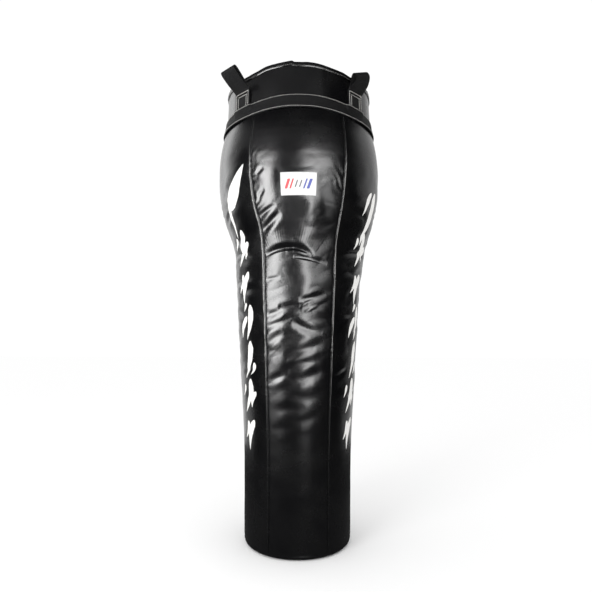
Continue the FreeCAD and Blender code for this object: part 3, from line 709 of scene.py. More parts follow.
# %% Sizes of the panels
LEATHER = 1.7 * MM
PANEL_TOP = seam_height - 3 * MM
LABEL_MARGIN = 16 * MM
FRONT_GRID = (120, 1.8 * MM)
OTHER_GRID = (60, 3.4 * MM)
SEAM_SHIFTS = {
    # panel: its right seam's shift in degrees low down, what is added to that higher up,
    # and the heights in metres between which it changes
    0: (1.6, -0.6, 0.76, 0.86),
    GORES - 1: (0.3, -2.3, 0.80, 0.90),
}
label_low, label_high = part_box("front_label")


# %% Rows and columns of a panel
def outline_rows(step):
    """Radius, height and outward direction for each row of a panel, from the base up."""
    flat_radii = np.linspace(base_radius, foot_radius - FOOT_ROUND, 4)[:-1]
    turn = np.linspace(0, math.pi / 2, 12)[:-1]
    round_radii = foot_radius - FOOT_ROUND * (1 - np.sin(turn))
    round_heights = FOOT_ROUND * (1 - np.cos(turn))
    heights = np.arange(FOOT_ROUND, PANEL_TOP, step)
    radii = np.concatenate([flat_radii, round_radii, wall_radius(heights)])
    heights = np.concatenate([np.zeros(len(flat_radii)), round_heights, heights])
    rise, run = np.gradient(heights), np.gradient(radii)
    length = np.hypot(rise, run)
    return radii, heights, rise / length, -run / length


def panel_columns(count):
    """Angles across a panel from -1 to 1, with more of them beside the seams."""
    middle = np.linspace(-1, 1, count)
    beside = 1 - np.array([0.0025, 0.006, 0.011, 0.017])
    return np.unique(np.concatenate([middle, beside, -beside]))


# %% Where the seams run, and where the bag is fuller
def seam_turn(number, height):
    """Where the seam on a panel's right side runs at these heights."""
    turn = HALF_GORE * (2 * number + 1)
    if number in SEAM_SHIFTS:
        shift, more, low, high = SEAM_SHIFTS[number]
        turn = turn + math.radians(shift) + math.radians(more) * smooth_step(low, high, height)
    return turn + np.zeros_like(height)


FULL_SIDE = 1.5
FULL_HEIGHT = 0.80
FULL_RISE = 6.5 * MM


def fullness(turn, height):
    """Where the packing has settled: the right of the waist is fuller than the left."""
    waist = np.exp(-(((turn - FULL_SIDE) / 0.7) ** 2) - ((height - FULL_HEIGHT) / 0.10) ** 2)
    return FULL_RISE * waist


# %% One panel's two faces
def panel_grids(number, columns, step):
    """The outer and inner face of one wall panel, and its places across and up."""
    radii, heights, out_part, up_part = outline_rows(step)
    share = panel_columns(columns)
    across, height = np.meshgrid(share, heights)
    radius = np.repeat(radii[:, None], len(share), axis=1)
    right = seam_turn(number, height)
    left = seam_turn((number - 1) % GORES, height) - (0 if number else 2 * math.pi)
    turn = (left + right) / 2 + across * (right - left) / 2
    half_width = (right - left) / 2 * radius
    distance = turn * radius if number == 0 else across * half_width
    edge = (1 - np.abs(across)) * half_width
    sheet = np.stack([distance, np.full_like(distance, number), height], axis=-1)
    relief = packed_lumps(sheet, height) + puckers(sheet, across, edge, height)
    tucks, folds = chance_folds(number) if number else (FRONT_TUCKS, FRONT_FOLDS)
    relief += relief_of(distance, height, tucks, tuck_profile)
    relief += relief_of(distance, height, folds, fold_profile)
    if number == 0:
        relief += swells(distance, height)
        relief += relief_of(distance, height, FRONT_RIDGES, ridge_profile)
        relief *= label_mask(distance, height)
    relief *= smooth_step(FOOT_EDGE, 90 * MM, height)
    relief += facet_and_seams(across, edge, height) + fullness(turn, height)
    out = out_part[:, None] * relief
    outer = around(turn, radius + out, np.maximum(height + up_part[:, None] * relief, 0))
    inset = relief - LEATHER
    inner = around(
        turn, radius + out_part[:, None] * inset, height + up_part[:, None] * inset
    )
    return outer, inner


def label_mask(distance, height):
    """0 under the sewn label, where the leather is held flat, and 1 away from it."""
    middle, half = (label_low.z + label_high.z) / 2, (label_high.z - label_low.z) / 2
    side = smooth_step(0, LABEL_MARGIN, np.abs(distance) - label_high.x)
    above = smooth_step(0, LABEL_MARGIN, np.abs(height - middle) - half)
    return 0.12 + 0.88 * np.maximum(side, above)


# %% The six panels, made
PANELS = (
    "front_panel",
    "front_right_panel",
    "rear_right_panel",
    "rear_panel",
    "rear_left_panel",
    "front_left_panel",
)
shell = []
for number, name in enumerate(PANELS):
    columns, step = OTHER_GRID if number else FRONT_GRID
    outer, inner = panel_grids(number, columns, step)
    mesh = slab(name + "_leather", outer, inner)
    piece = add_piece(name + "_leather", mesh, wall_leather, "bag", [name])
    shell.append(piece)
    print(piece.name, len(mesh.vertices), "points")

# %% [markdown]
# ## Finding the leather's surface
#
# Stitches and paint have to lie exactly on the finished leather, folds and all. The relief
# could be worked out again for each of them, but it is simpler to put the six panels in one
# search tree and send a ray in from outside: it gives the place it hits and its normal.

# %% Finding the leather's surface
shell_tree = tree_of([piece.data for piece in shell])


def on_wall(angle, height, lift=0.0):
    """The wall's outer surface at an angle and height, raised by lift, and its normal."""
    outward = Vector((math.sin(angle), -math.cos(angle), 0))
    hit, normal, _, _ = shell_tree.ray_cast(outward * 0.4 + Vector((0, 0, height)), -outward)
    return hit + normal * lift, normal


# %% [markdown]
# ## The collar
#
# The collar is one strip of leather from under the band to the rim. The binding's stitches
# gather its edge, so it waves a little, and it stands highest at the front and the back,
# because the straps pull it down at the four corners.

# %% Collar
RIM_STEPS = 480
COLLAR_ROWS = 34
COLLAR_LAP = 7 * MM
ROLL_FROM, ROLL_TO = (-0.60, -0.46), (-0.085, -0.06)
rim_turn = np.linspace(-math.pi, math.pi, RIM_STEPS, endpoint=False)


def ring_cloud(turn, count, seed):
    """Smooth noise round a ring, with about count lumps in a turn."""
    reach = count / (2 * math.pi)
    ring = around(turn, reach, seed * 9.1)
    return cloud(ring, 1.0, seed)


def rim_lift(turn):
    """How far the rim stands above or below the frame's, all the way round. At the left of
    the front the binding has rolled up a little."""
    pull = 4.2 * MM * np.cos(4 * turn) + 3.0 * MM * np.cos(2 * turn)
    left_roll = smooth_step(*ROLL_FROM, turn) * (1 - smooth_step(*ROLL_TO, turn))
    waves = 1.1 * MM * ring_cloud(turn, 34, 5) + 0.9 * MM * ring_cloud(turn, 90, 6)
    return pull + 2.2 * MM * left_roll + waves


def rim_swell(turn):
    """How far the rim leans out or in from the frame's."""
    return 0.8 * MM * ring_cloud(turn, 22, 7) + 0.8 * MM * ring_cloud(turn, 80, 8)


def collar_outer(turn, share):
    """The collar's outer face: share runs from 0 at its foot to 1 at the rim."""
    height = seam_height - COLLAR_LAP + share * (rim_height - seam_height + COLLAR_LAP)
    steady = np.maximum(height, seam_height + 2 * MM)
    radius = wall_radius(np.minimum(steady, rim_height - 6 * MM))
    folds = 1.2 * MM * ring_cloud(turn, 16, 9) * np.sin(math.pi * share)
    radius = radius + rim_swell(turn) * share**2 + folds
    return around(turn, radius, height + rim_lift(turn) * share**2)


turn_grid, share_grid = np.meshgrid(rim_turn, np.linspace(0, 1, COLLAR_ROWS))
collar_face = collar_outer(turn_grid, share_grid)
outward_grid = around(turn_grid, 1.0, 0.0)
collar_mesh = slab("collar_leather", collar_face, collar_face - LEATHER * outward_grid, wrap=True)
add_piece("collar_leather", collar_mesh, wall_leather, "bag", ["collar"])
print("collar", len(collar_mesh.vertices), "points")

# %% [markdown]
# ## The straps
#
# Each hanging strap is one length of webbing, folded in two. Its two plies lie flat on the
# collar, where a box of stitches holds them, and above that they part into a loop. In the
# frame that is a sewn tail and a hinged loop; here one ribbon stands for both, and its path
# passes through the hinge's pivot, where the real strap flexes.

# %% Strap ribbons
WEBBING = 1.8 * MM
STRAP_WIDTH = 50 * MM
LOOP_LEAN = math.radians(49.5)
STRAPS = {
    # name: turn from the front in degrees, loop's reach, half its opening, the share of its
    # reach where it is widest, and how far it sags sideways and twists
    "front_left": (-45, 59 * MM, 5.5 * MM, 0.8, 0.0, 0.0),
    "front_right": (45, 42 * MM, 7.0 * MM, 0.7, -18 * MM, 0.42),
    "rear_right": (135, 58 * MM, 8.0 * MM, 0.75, 3 * MM, -0.05),
    "rear_left": (-135, 59 * MM, 7.0 * MM, 0.75, -4 * MM, 0.08),
}
joint_places = {
    joint["child"]: Vector(joint["pos_m"]) for joint in frame["joints"] if "pos_m" in joint
}


# %% The line a strap follows
def cut_corners(points, rounds):
    """A smoother path: each round replaces every corner by two points beside it."""
    for _ in range(rounds):
        first = points[:-1] * 0.75 + points[1:] * 0.25
        second = points[:-1] * 0.25 + points[1:] * 0.75
        between = np.stack([first, second], axis=1).reshape(-1, points.shape[1])
        points = np.concatenate([points[:1], between, points[-1:]])
    return points


def strap_path(pivot_radius, pivot_height, reach, half_open, widest):
    """The strap's middle line as radius and height: up the inner ply, round the loop and
    down the outer ply."""
    foot = seam_height + 3 * MM
    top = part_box("front_left_strap_tail")[1].z - 4 * MM
    clear = 0.5 * MM + WEBBING / 2
    inner = [(wall_radius(z) + clear, z) for z in (foot, (foot + top) / 2, top)]
    outer = [(radius + WEBBING + 0.15 * MM, z) for radius, z in reversed(inner)]
    along = np.array([math.sin(LOOP_LEAN), math.cos(LOOP_LEAN)])
    side = np.array([math.cos(LOOP_LEAN), -math.sin(LOOP_LEAN)])
    pivot = np.array([pivot_radius, pivot_height])
    stations = ((0.12, 0.25), (widest * 0.55, 0.8), (widest, 1.0), (0.985, 0.75))
    up_side = [pivot + along * reach * s - side * half_open * w for s, w in stations]
    down_side = [pivot + along * reach * s + side * half_open * w for s, w in reversed(stations)]
    root = [pivot - side * WEBBING * 0.7]
    back = [pivot + side * WEBBING * 0.7]
    return cut_corners(np.array([*inner, *root, *up_side, *down_side, *back, *outer]), 3)


# %% A ribbon along a line
def ribbon(name, path, turn, width, thick, pivot_height, sag, twist):
    """A flat strap that follows a path of radius and height at one turn round the bag, and
    sags sideways and twists above its pivot."""
    step = np.gradient(path, axis=0)
    step /= np.linalg.norm(step, axis=1)[:, None]
    side = np.stack([step[:, 1], -step[:, 0]], axis=1)
    across = np.array([-1, -0.985, -0.95, -0.6, -0.2, 0.2, 0.6, 0.95, 0.985, 1]) * width / 2
    round_edge = np.array([0.35, 0.75, 1, 1, 1, 1, 1, 1, 0.75, 0.35]) * thick / 2
    free = np.clip((path[:, 1] - pivot_height) / (path[:, 1].max() - pivot_height), 0, 1)[:, None]
    along = across[None] + sag * free**1.5
    height = path[:, 1][:, None] + twist * across[None] * free
    sideways = np.array([math.cos(turn), math.sin(turn), 0])
    centre = around(turn, path[:, :1], height) + along[..., None] * sideways
    normal = around(turn, side[:, 0], side[:, 1])[:, None]
    lift = normal * round_edge[None, :, None]
    run = np.concatenate([[0], np.cumsum(np.linalg.norm(np.diff(path, axis=0), axis=1))])
    flat = np.stack(np.broadcast_arrays(run[:, None], across[None]), axis=-1)
    return slab(name, centre + lift, centre - lift, flat=flat)


# %% The four straps, made
straps = {}
for name, (degrees, reach, half_open, widest, sag, twist) in STRAPS.items():
    turn = math.radians(degrees)
    pivot = joint_places[name + "_loop"]
    pivot_radius = math.hypot(pivot.x, pivot.y)
    path = strap_path(pivot_radius, pivot.z, reach, half_open, widest)
    mesh = ribbon(name + "_strap", path, turn, STRAP_WIDTH, WEBBING, pivot.z, sag, twist)
    strap = add_piece(
        name + "_strap",
        mesh,
        webbing,
        None,
        [name + "_strap_tail", name + "_strap_loop"],
    )
    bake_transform(strap)
    straps[name] = strap
    print(strap.name, len(mesh.vertices), "points")

# %% [markdown]
# ## The band
#
# The band is sewn on last, over the seam and over the straps' ends, so it rises over each
# of them. Its lower edge lies on the panels and its upper edge on the collar. The straps
# pull it down at the four corners, so it stands highest at the front and the back.

# %% Band
BAND_RISE = 1.6 * MM
BAND_DROP = 9.5 * MM
HUMP_TURNS = (math.radians(7.6), math.radians(10.5))
band_low, band_high = (corner.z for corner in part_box("seam_band"))
BAND_ROWS = np.array([0, 0.02, 0.05, 0.2, 0.35, 0.5, 0.65, 0.8, 0.95, 0.98, 1])


def strap_hump(turn):
    """1 over a strap's end and 0 between the straps, with soft shoulders."""
    turns = [math.radians(strap[0]) for strap in STRAPS.values()]
    nearest = np.min([np.abs(np.angle(np.exp(1j * (turn - t)))) for t in turns], axis=0)
    return 1 - smooth_step(*HUMP_TURNS, nearest)


def band_lift(turn):
    """How far the band stands above or below the frame's."""
    from_middle = np.minimum(np.abs(turn), math.pi - np.abs(turn))
    return BAND_RISE - BAND_DROP * smooth_step(0.1, 0.85, from_middle)


def band_radius(turn, height, share):
    """The band's inner face: on the panels below, on the collar and the straps above."""
    over = strap_hump(turn) * (2 * WEBBING + 0.9 * MM) * smooth_step(0.35, 0.75, share)
    ripple = 0.35 * MM * ring_cloud(turn, 60, 11)
    seam_bulge = 0.8 * MM * np.sin(math.pi * share)
    return wall_radius(height) + 1.6 * MM + seam_bulge + over + ripple


band_turn, band_share = np.meshgrid(rim_turn, BAND_ROWS)
band_height = band_low + (band_high - band_low) * band_share + band_lift(band_turn)
edge_round = np.interp(BAND_ROWS, [0, 0.02, 0.05, 0.95, 0.98, 1], [0.4, 0.8, 1, 1, 0.8, 0.4])
band_inner = band_radius(band_turn, band_height, band_share)
band_outer = band_inner + WEBBING * edge_round[:, None]
band_flat = np.stack([band_turn * 0.2, band_height], axis=-1)
band_mesh = slab(
    "seam_band_webbing",
    around(band_turn, band_outer, band_height),
    around(band_turn, band_inner, band_height),
    wrap=True,
    flat=band_flat,
)
add_piece("seam_band_webbing", band_mesh, webbing, "bag", ["seam_band"])
band_tree = tree_of([band_mesh])
print("band", len(band_mesh.vertices), "points")

# %% [markdown]
# ## The rim binding and the lid
#
# A strip of leather is folded over the raw edges of collar and lid, and sewn through. Its
# section is an upside-down U, carried round the ring and following the rim's waves.

# %% Rim binding
BINDING_SECTION = np.array(
    # millimetres out from the collar's face and up from its edge, round the strip
    [
        (1.5, -9.0),
        (1.9, -8.6),
        (2.0, -5.0),
        (2.1, -1.0),
        (1.6, 1.2),
        (0.2, 2.4),
        (-2.2, 2.7),
        (-4.2, 2.1),
        (-5.4, 0.6),
        (-5.7, -3.0),
        (-5.5, -5.6),
        (-5.0, -5.8),
        (-4.7, -3.0),
        (-4.4, 0.0),
        (-2.2, 1.2),
        (0.3, 0.4),
        (0.7, -4.0),
        (0.7, -8.8),
    ]
)


def ring_tube(name, section, turn, base_out, base_up, swell):
    """A closed section carried round the bag; swell widens it a little here and there."""
    columns = len(section)
    out = base_out[:, None] + section[None, :, 0] * MM * swell[:, None]
    up = base_up[:, None] + section[None, :, 1] * MM
    points = around(turn[:, None], out, up).reshape(-1, 3)
    first = np.arange(len(turn) * columns).reshape(len(turn), columns)
    first = np.vstack([first, first[:1]])
    first = np.hstack([first, first[:, :1]])
    mesh = bpy.data.meshes.new(name)
    mesh.from_pydata(points.tolist(), [], quads_of(first).tolist())
    turn_outward(mesh)
    return mesh


rim_edge = collar_outer(rim_turn, 1.0)
rim_radii = np.hypot(rim_edge[:, 0], rim_edge[:, 1])
pinch = 1 + 0.10 * ring_cloud(rim_turn, 120, 12)
binding_mesh = ring_tube(
    "rim_binding_leather", BINDING_SECTION, rim_turn, rim_radii, rim_edge[:, 2], pinch
)
add_piece(
    "rim_binding_leather", binding_mesh, wall_leather, "bag", ["rim_binding"]
)
binding_tree = tree_of([binding_mesh])
print("binding", len(binding_mesh.vertices), "points")

# %% [markdown]
# The lid is two half discs of the same leather with the filling zip between them. Packed
# cloth pushes it up a little, and its edge turns up inside the rim, where the binding holds
# it. Each half is one grid that is morphed from the zip's straight edge to the round rim.

# %% Lid
LID_ROWS = 26
LID_COLUMNS = 120
SLOT_LENGTH_SHARE = 0.803
slot_half = 8.6 * MM
slot_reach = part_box("lid_right_half")[1].y * SLOT_LENGTH_SHARE
lid_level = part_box("zip_right_tape")[1].z + 2.0 * MM


def lid_half(name, side):
    """Half of the lid, from the zip's edge out to its turned-up flange."""
    lean = np.linspace(-math.pi / 2 + 0.004, math.pi / 2 - 0.004, LID_COLUMNS)
    share = np.linspace(0, 1, LID_ROWS)[:, None]
    edge_turn = side * (math.pi / 2 - lean)
    wrapped = np.angle(np.exp(1j * edge_turn))
    edge = np.stack([np.interp(wrapped, rim_turn, v) for v in (rim_radii, rim_edge[:, 2])])
    radius = edge[0] - 3.2 * MM
    across_rim, along_rim = radius * np.cos(lean), radius * np.sin(lean)
    slot = slot_half * smooth_step(0, 5 * MM, slot_reach - np.abs(along_rim)) + 0.15 * MM
    across = slot + (across_rim - slot) * share
    along = along_rim * np.ones_like(share)
    places = np.stack([side * across, -along, np.full_like(across, lid_level)], axis=-1)
    inward = (1 - share) * across_rim
    puff = 5 * MM * np.sin(math.pi * share) ** 1.5 * smooth_step(0, 0.06, across_rim)
    folds = 2.4 * MM * cloud(places, 45 * MM, 13) * smooth_step(0, 0.3, share)
    flange = (edge[1] - lid_level) * smooth_step(12 * MM, 0, inward)
    calm = smooth_step(8 * MM, 34 * MM, across)
    places[..., 2] += (puff + folds) * calm * smooth_step(0, 14 * MM, inward) + flange
    below = places.copy()
    below[..., 2] -= LEATHER * (1 - 0.7 * smooth_step(12 * MM, 0, inward))
    return slab(name, places, below)


for name, side in (("lid_right_half", 1), ("lid_left_half", -1)):
    mesh = lid_half(name + "_leather", side)
    add_piece(name + "_leather", mesh, wall_leather, "bag", [name])
    print(name, len(mesh.vertices), "points")

# %% [markdown]
# ## Stitches
#
# A lockstitch shows as a row of short thread capsules, each one sunk at its ends where the
# thread goes down the needle hole. Every row is one mesh: a small capsule repeated along a
# path, and turned to lie on the surface.

# %% One stitch
STITCH = 4.6 * MM
GAP = 0.9 * MM
THREAD = 0.34 * MM
SEAM_THREAD = 0.2 * MM
BAND_THREAD = 0.28 * MM
BOX_THREAD = 0.42 * MM
CAPSULE_SIDES = 6
CAPSULE_RINGS = (
    # share of the stitch's length, share of its thickness, and its height in threads
    (-0.5, 0.25, -0.7),
    (-0.44, 0.8, 0.0),
    (-0.2, 1, 0.55),
    (0.2, 1, 0.55),
    (0.44, 0.8, 0.0),
    (0.5, 0.25, -0.7),
)


def capsule_points(length, thread):
    """Points of one stitch: along, across and above the surface, ring by ring."""
    points = []
    for along, girth, above in CAPSULE_RINGS:
        for k in range(CAPSULE_SIDES):
            turn = 2 * math.pi * k / CAPSULE_SIDES
            points.append(
                (
                    along * length,
                    girth * thread * math.cos(turn),
                    girth * thread * math.sin(turn) + above * thread,
                )
            )
    return np.array(points)


def capsule_faces():
    """Faces of one stitch: its rings joined, and a cap at each end."""
    sides = CAPSULE_SIDES
    faces = []
    for ring in range(len(CAPSULE_RINGS) - 1):
        for k in range(sides):
            a, b = ring * sides + k, ring * sides + (k + 1) % sides
            faces.append((a, b, b + sides, a + sides))
    last = (len(CAPSULE_RINGS) - 1) * sides
    faces.append(tuple(reversed(range(sides))))
    faces.append(tuple(range(last, last + sides)))
    return faces


# %% Rows of stitches
def stitch_rows(name, paths, finish, thread=THREAD):
    """One mesh of stitches along paths; a path is a list of points with their normals."""
    points, faces = [], []
    shape, shape_faces = capsule_points(STITCH - GAP, thread), capsule_faces()
    for places, normals in paths:
        places, normals = np.array(places), np.array(normals)
        run = np.concatenate([[0], np.cumsum(np.linalg.norm(np.diff(places, axis=0), axis=1))])
        middles = np.arange(STITCH / 2, run[-1], STITCH)
        at = np.stack([np.interp(middles, run, places[:, k]) for k in range(3)], axis=-1)
        up = np.stack([np.interp(middles, run, normals[:, k]) for k in range(3)], axis=-1)
        ahead, behind = (
            np.stack([np.interp(middles + shift, run, places[:, k]) for k in range(3)], axis=-1)
            for shift in (MM, -MM)
        )
        along = ahead - behind
        along /= np.linalg.norm(along, axis=1)[:, None]
        across = np.cross(up, along)
        across /= np.linalg.norm(across, axis=1)[:, None]
        up = np.cross(along, across)
        slant = along + 0.12 * across
        for k in range(len(middles)):
            first = len(points)
            turned = at[k] + shape @ np.stack([slant[k], across[k], up[k]])
            points += turned.tolist()
            faces += [tuple(first + v for v in face) for face in shape_faces]
    mesh = bpy.data.meshes.new(name)
    mesh.from_pydata(points, [], faces)
    add_piece(name, mesh, finish, "bag")
    print(name, len(faces) // len(shape_faces), "stitches")


def trace(places, tree, lift=0.25 * MM):
    """Turns (angle, height) places into points and normals on a surface's outside."""
    points, normals = [], []
    for angle, height in places:
        outward = Vector((math.sin(angle), -math.cos(angle), 0))
        hit, normal, _, _ = tree.ray_cast(outward * 0.4 + Vector((0, 0, height)), -outward)
        if hit:
            points.append(hit + normal * lift)
            normals.append(normal)
    return points, normals


# %% Seam, band and rim stitching
SEAM_MARGIN = 3.0 * MM
BAND_MARGINS = (3.2 * MM, 3.4 * MM)
RIM_MARGIN = 6.6 * MM
stitch_heights = np.arange(0.03, band_low + 2 * MM, 4 * MM)
seam_paths = []
for number in range(GORES):
    side = 1 if number < GORES / 2 else -1
    seam = seam_turn(number, stitch_heights) + side * SEAM_MARGIN / wall_radius(stitch_heights)
    places = list(zip(seam, stitch_heights))
    seam_paths.append(trace(places, shell_tree))
stitch_rows("seam_stitching", seam_paths, seam_thread, SEAM_THREAD)

ring = np.append(rim_turn, rim_turn[0] + 2 * math.pi)
band_rows = [band_low + BAND_MARGINS[0], band_high - BAND_MARGINS[1]]
band_paths = [trace(zip(ring, z + band_lift(ring)), band_tree) for z in band_rows]
stitch_rows("band_stitching", band_paths, white_thread, BAND_THREAD)
rim_levels = np.append(rim_edge[:, 2], rim_edge[0, 2]) - RIM_MARGIN
stitch_rows("rim_stitching", [trace(zip(ring, rim_levels), binding_tree)], rim_thread)


# %% [markdown]
# Each strap's tail is held by two rectangles of stitches, one inside the other. They run on
# under the band, so they are open at the foot. Here rays are sent at the strap itself, which
# gives the outer ply and not the collar behind it.


# %% Box stitches on the straps
def box_path(name, half_width, low, high):
    """A rectangle of stitches on a strap's outer ply, open at its foot under the band."""
    degrees = STRAPS[name][0]
    turn = math.radians(degrees)
    tree = tree_of([straps[name].data])
    outward = np.array([math.sin(turn), -math.cos(turn), 0])
    sideways = np.array([math.cos(turn), math.sin(turn), 0])
    corners = [(-half_width, low), (-half_width, high), (half_width, high), (half_width, low)]
    paths = []
    for (x0, z0), (x1, z1) in zip(corners, corners[1:]):
        points, normals = [], []
        for share in np.linspace(0, 1, 12):
            x, z = x0 + (x1 - x0) * share, z0 + (z1 - z0) * share
            start = Vector(outward * 0.4 + sideways * x + np.array([0, 0, z]))
            hit, normal, _, _ = tree.ray_cast(start, Vector(-outward))
            points.append(hit + normal * 0.25 * MM)
            normals.append(normal)
        paths.append((points, normals))
    return paths


BOXES = (
    # half width, and how far below the top of the strap's tail
    (22 * MM, 0),
    (15 * MM, 7 * MM),
)
box_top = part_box("front_left_strap_tail")[1].z - 2.5 * MM
box_paths = []
for name in STRAPS:
    low = band_high + float(band_lift(math.radians(STRAPS[name][0]))) - 1 * MM
    for half_width, drop in BOXES:
        box_paths += box_path(name, half_width, low, box_top - drop)
stitch_rows("box_stitching", box_paths, white_thread, BOX_THREAD)

# %% [markdown]
# ## The sewn label
#
# A white satin label is sewn to the belly. Its mark here is a plain one: six slanted bars
# in three colours. The label follows the wall's outline but not its small wrinkles, because
# its cloth is stiffer than the leather under it.

# %% Label
emblem_red = solid_finish("red_woven_mark", "#b3202c", "#c22a35", 0.55, 1 * MM, 0.05 * MM)
emblem_navy = solid_finish("navy_woven_mark", "#2b3a86", "#33439a", 0.55, 1 * MM, 0.05 * MM)
emblem_grey = solid_finish("grey_woven_mark", "#4a4b50", "#55565b", 0.55, 1 * MM, 0.05 * MM)
LABEL_GAP = 1.0 * MM
LABEL_CLOTH = 0.8 * MM
BAR_FILM = 0.12 * MM
BAR_SLANT = 0.35
HEM = 1.6 * MM
label_middle = (label_low.z + label_high.z) / 2
label_radius = float(wall_radius(label_middle))


def label_point(x, z, lift):
    """A place on the label's back, x and z from its middle, raised by lift."""
    height = label_middle + z
    radius = wall_radius(height) - FACET + LABEL_GAP + lift
    return around(x / label_radius, radius, height)


def label_sheet(name, x, z, lift, thick, material, replaces=()):
    """A thin sheet over a grid of places on the label."""
    outer, inner = label_point(x, z, lift + thick), label_point(x, z, lift)
    mesh = slab(name, outer, inner, flat=np.stack([x, z], axis=-1))
    return add_piece(name, mesh, material, "bag", replaces)


half_wide, half_high = label_high.x, (label_high.z - label_low.z) / 2
grid_x, grid_z = np.meshgrid(
    np.linspace(-1, 1, 43) * half_wide, np.linspace(-1, 1, 27) * half_high
)
label_sheet(
    "label_cloth", grid_x, grid_z, 0, LABEL_CLOTH, label_cloth, ["front_label"]
)

# %% The label's bars and hem
BARS = (
    # millimetres from the middle, half height, half width, finish
    (-26, 11, 3.4, emblem_red),
    (-16, 11, 2.0, emblem_red),
    (-5, 8, 1.6, emblem_grey),
    (5, 8, 1.6, emblem_grey),
    (16, 11, 2.0, emblem_navy),
    (26, 11, 3.4, emblem_navy),
)
for number, (place, half, wide, material) in enumerate(BARS):
    x, z = np.meshgrid(np.linspace(-wide, wide, 5), np.linspace(-half, half, 10))
    x = (x + place + BAR_SLANT * z) * MM
    label_sheet(
        f"label_bar_{number}", x, z * MM, LABEL_CLOTH, BAR_FILM, material
    )
loop_x = np.array([-1, 1, 1, -1, -1]) * (half_wide - HEM)
loop_z = np.array([-1, -1, 1, 1, -1]) * (half_high - HEM)
hem_paths = []
for k in range(4):
    share = np.linspace(0, 1, 24)
    x = loop_x[k] + (loop_x[k + 1] - loop_x[k]) * share
    z = loop_z[k] + (loop_z[k + 1] - loop_z[k]) * share
    points = label_point(x, z, 0.9 * MM)
    hem_paths.append((points, around(x / label_radius, 1.0, 0.0)))
stitch_rows("label_stitching", hem_paths, hem_thread)

# %% [markdown]
# ## The painted slashes
#
# The two front side panels carry a column of white brush marks. These are plain claw
# slashes: groups of tapered strokes that lean the same way. Each stroke is a thin film laid
# on the leather, thin at its tail and full to its blunt head, with a slightly rough edge.

# %% Brush slashes
INK_FILM = 0.12 * MM
INK_LIFT = 0.25 * MM
EDGE_ROUGHNESS = 0.3
FIRST_SLASHES = {
    # start, end and sideways bend of a stroke in mm from the group's middle, and its width
    "left": (((54, 62), (-12, -10), 3, 32), ((-10, -64), (-16, 0), 1, 12)),
    "right": (((-10, -62), (16, 44), 5, 24), ((-26, -8), (-6, 40), -4, 12)),
}
SLASH_GROUP_SHAPES = (
    # the same, for the groups below, used in turn
    (((-16, -34), (10, 34), 7, 17), ((10, -22), (24, 10), -4, 12), ((-26, -2), (-16, 22), 2, 8)),
    (((-4, -36), (16, 26), -7, 16), ((-22, -14), (-6, 22), 5, 13)),
    (((-20, -30), (4, 12), -5, 14), ((2, -34), (18, 34), 6, 17), ((-8, 22), (4, 38), 0, 8)),
    (((-8, -38), (14, 36), 6, 18), ((12, -30), (26, -6), 3, 9)),
)


def stroke_film(centre_angle, centre_height, stroke, scale, draw):
    """Grids for one brush stroke laid on the wall, from its thin tail to its full head."""
    (x0, z0), (x1, z1), bend, width = stroke
    rows, columns = 36, 7
    share = np.linspace(0, 1, rows)
    x = (x0 + (x1 - x0) * share + bend * np.sin(math.pi * share)) * scale
    z = (z0 + (z1 - z0) * share) * scale
    length = math.hypot(x1 - x0, z1 - z0)
    side = ((z1 - z0) / length, -(x1 - x0) / length)
    taper = np.minimum(1, 1.5 * share**0.8) * np.clip((1 - share) / 0.16, 0.05, 1) ** 0.5
    top, bottom = np.empty((rows, columns, 3)), np.empty((rows, columns, 3))
    for row in range(rows):
        rough = draw.uniform(-EDGE_ROUGHNESS, EDGE_ROUGHNESS) * (taper[row] > 0.4)
        half = width * scale / 2 * taper[row] + rough
        for column, across in enumerate(np.linspace(-1, 1, columns)):
            u = (x[row] + side[0] * half * across) * MM
            height = centre_height + (z[row] + side[1] * half * across) * MM
            angle = centre_angle + u / float(wall_radius(height))
            point, normal = on_wall(angle, height)
            top[row, column] = point + normal * (INK_LIFT + INK_FILM)
            bottom[row, column] = point + normal * INK_LIFT
    return top, bottom


SLASH_TOP = 0.775
SLASH_PITCH = 94 * MM
SLASH_GROUPS = 6
SLASH_SCALE = 1.3
SLASH_SEED = 21
SLASH_COLUMNS = (
    # side, turn from the front in degrees, height of the first group's middle in metres
    ("left", -57, 0.885),
    ("right", 65, 0.865),
)
for name, middle, first_height in SLASH_COLUMNS:
    draw = random.Random(SLASH_SEED)
    groups = [(first_height, FIRST_SLASHES[name])]
    for k in range(SLASH_GROUPS):
        shapes = SLASH_GROUP_SHAPES[k % len(SLASH_GROUP_SHAPES)]
        groups.append((SLASH_TOP - k * SLASH_PITCH, shapes))
    strokes = [(height, stroke) for height, group in groups for stroke in group]
    for k, (height, stroke) in enumerate(strokes):
        top, bottom = stroke_film(math.radians(middle), height, stroke, SLASH_SCALE, draw)
        mesh = slab(f"slash_{name}_{k:02d}", top, bottom)
        add_piece(f"slash_{name}_{k:02d}", mesh, print_ink, "bag")
    print(name, len(strokes), "strokes")

# %% [markdown]
# ## The zip, the base and what is inside
#
# The zip's parts keep their shapes from the frame and only need their finishes: moulded
# acetal teeth, woven tape, and an enamelled zinc slider. Inside the leather are a nylon
# liner, foam and packed cloth, which follow the same rows as the wall, a little further in.

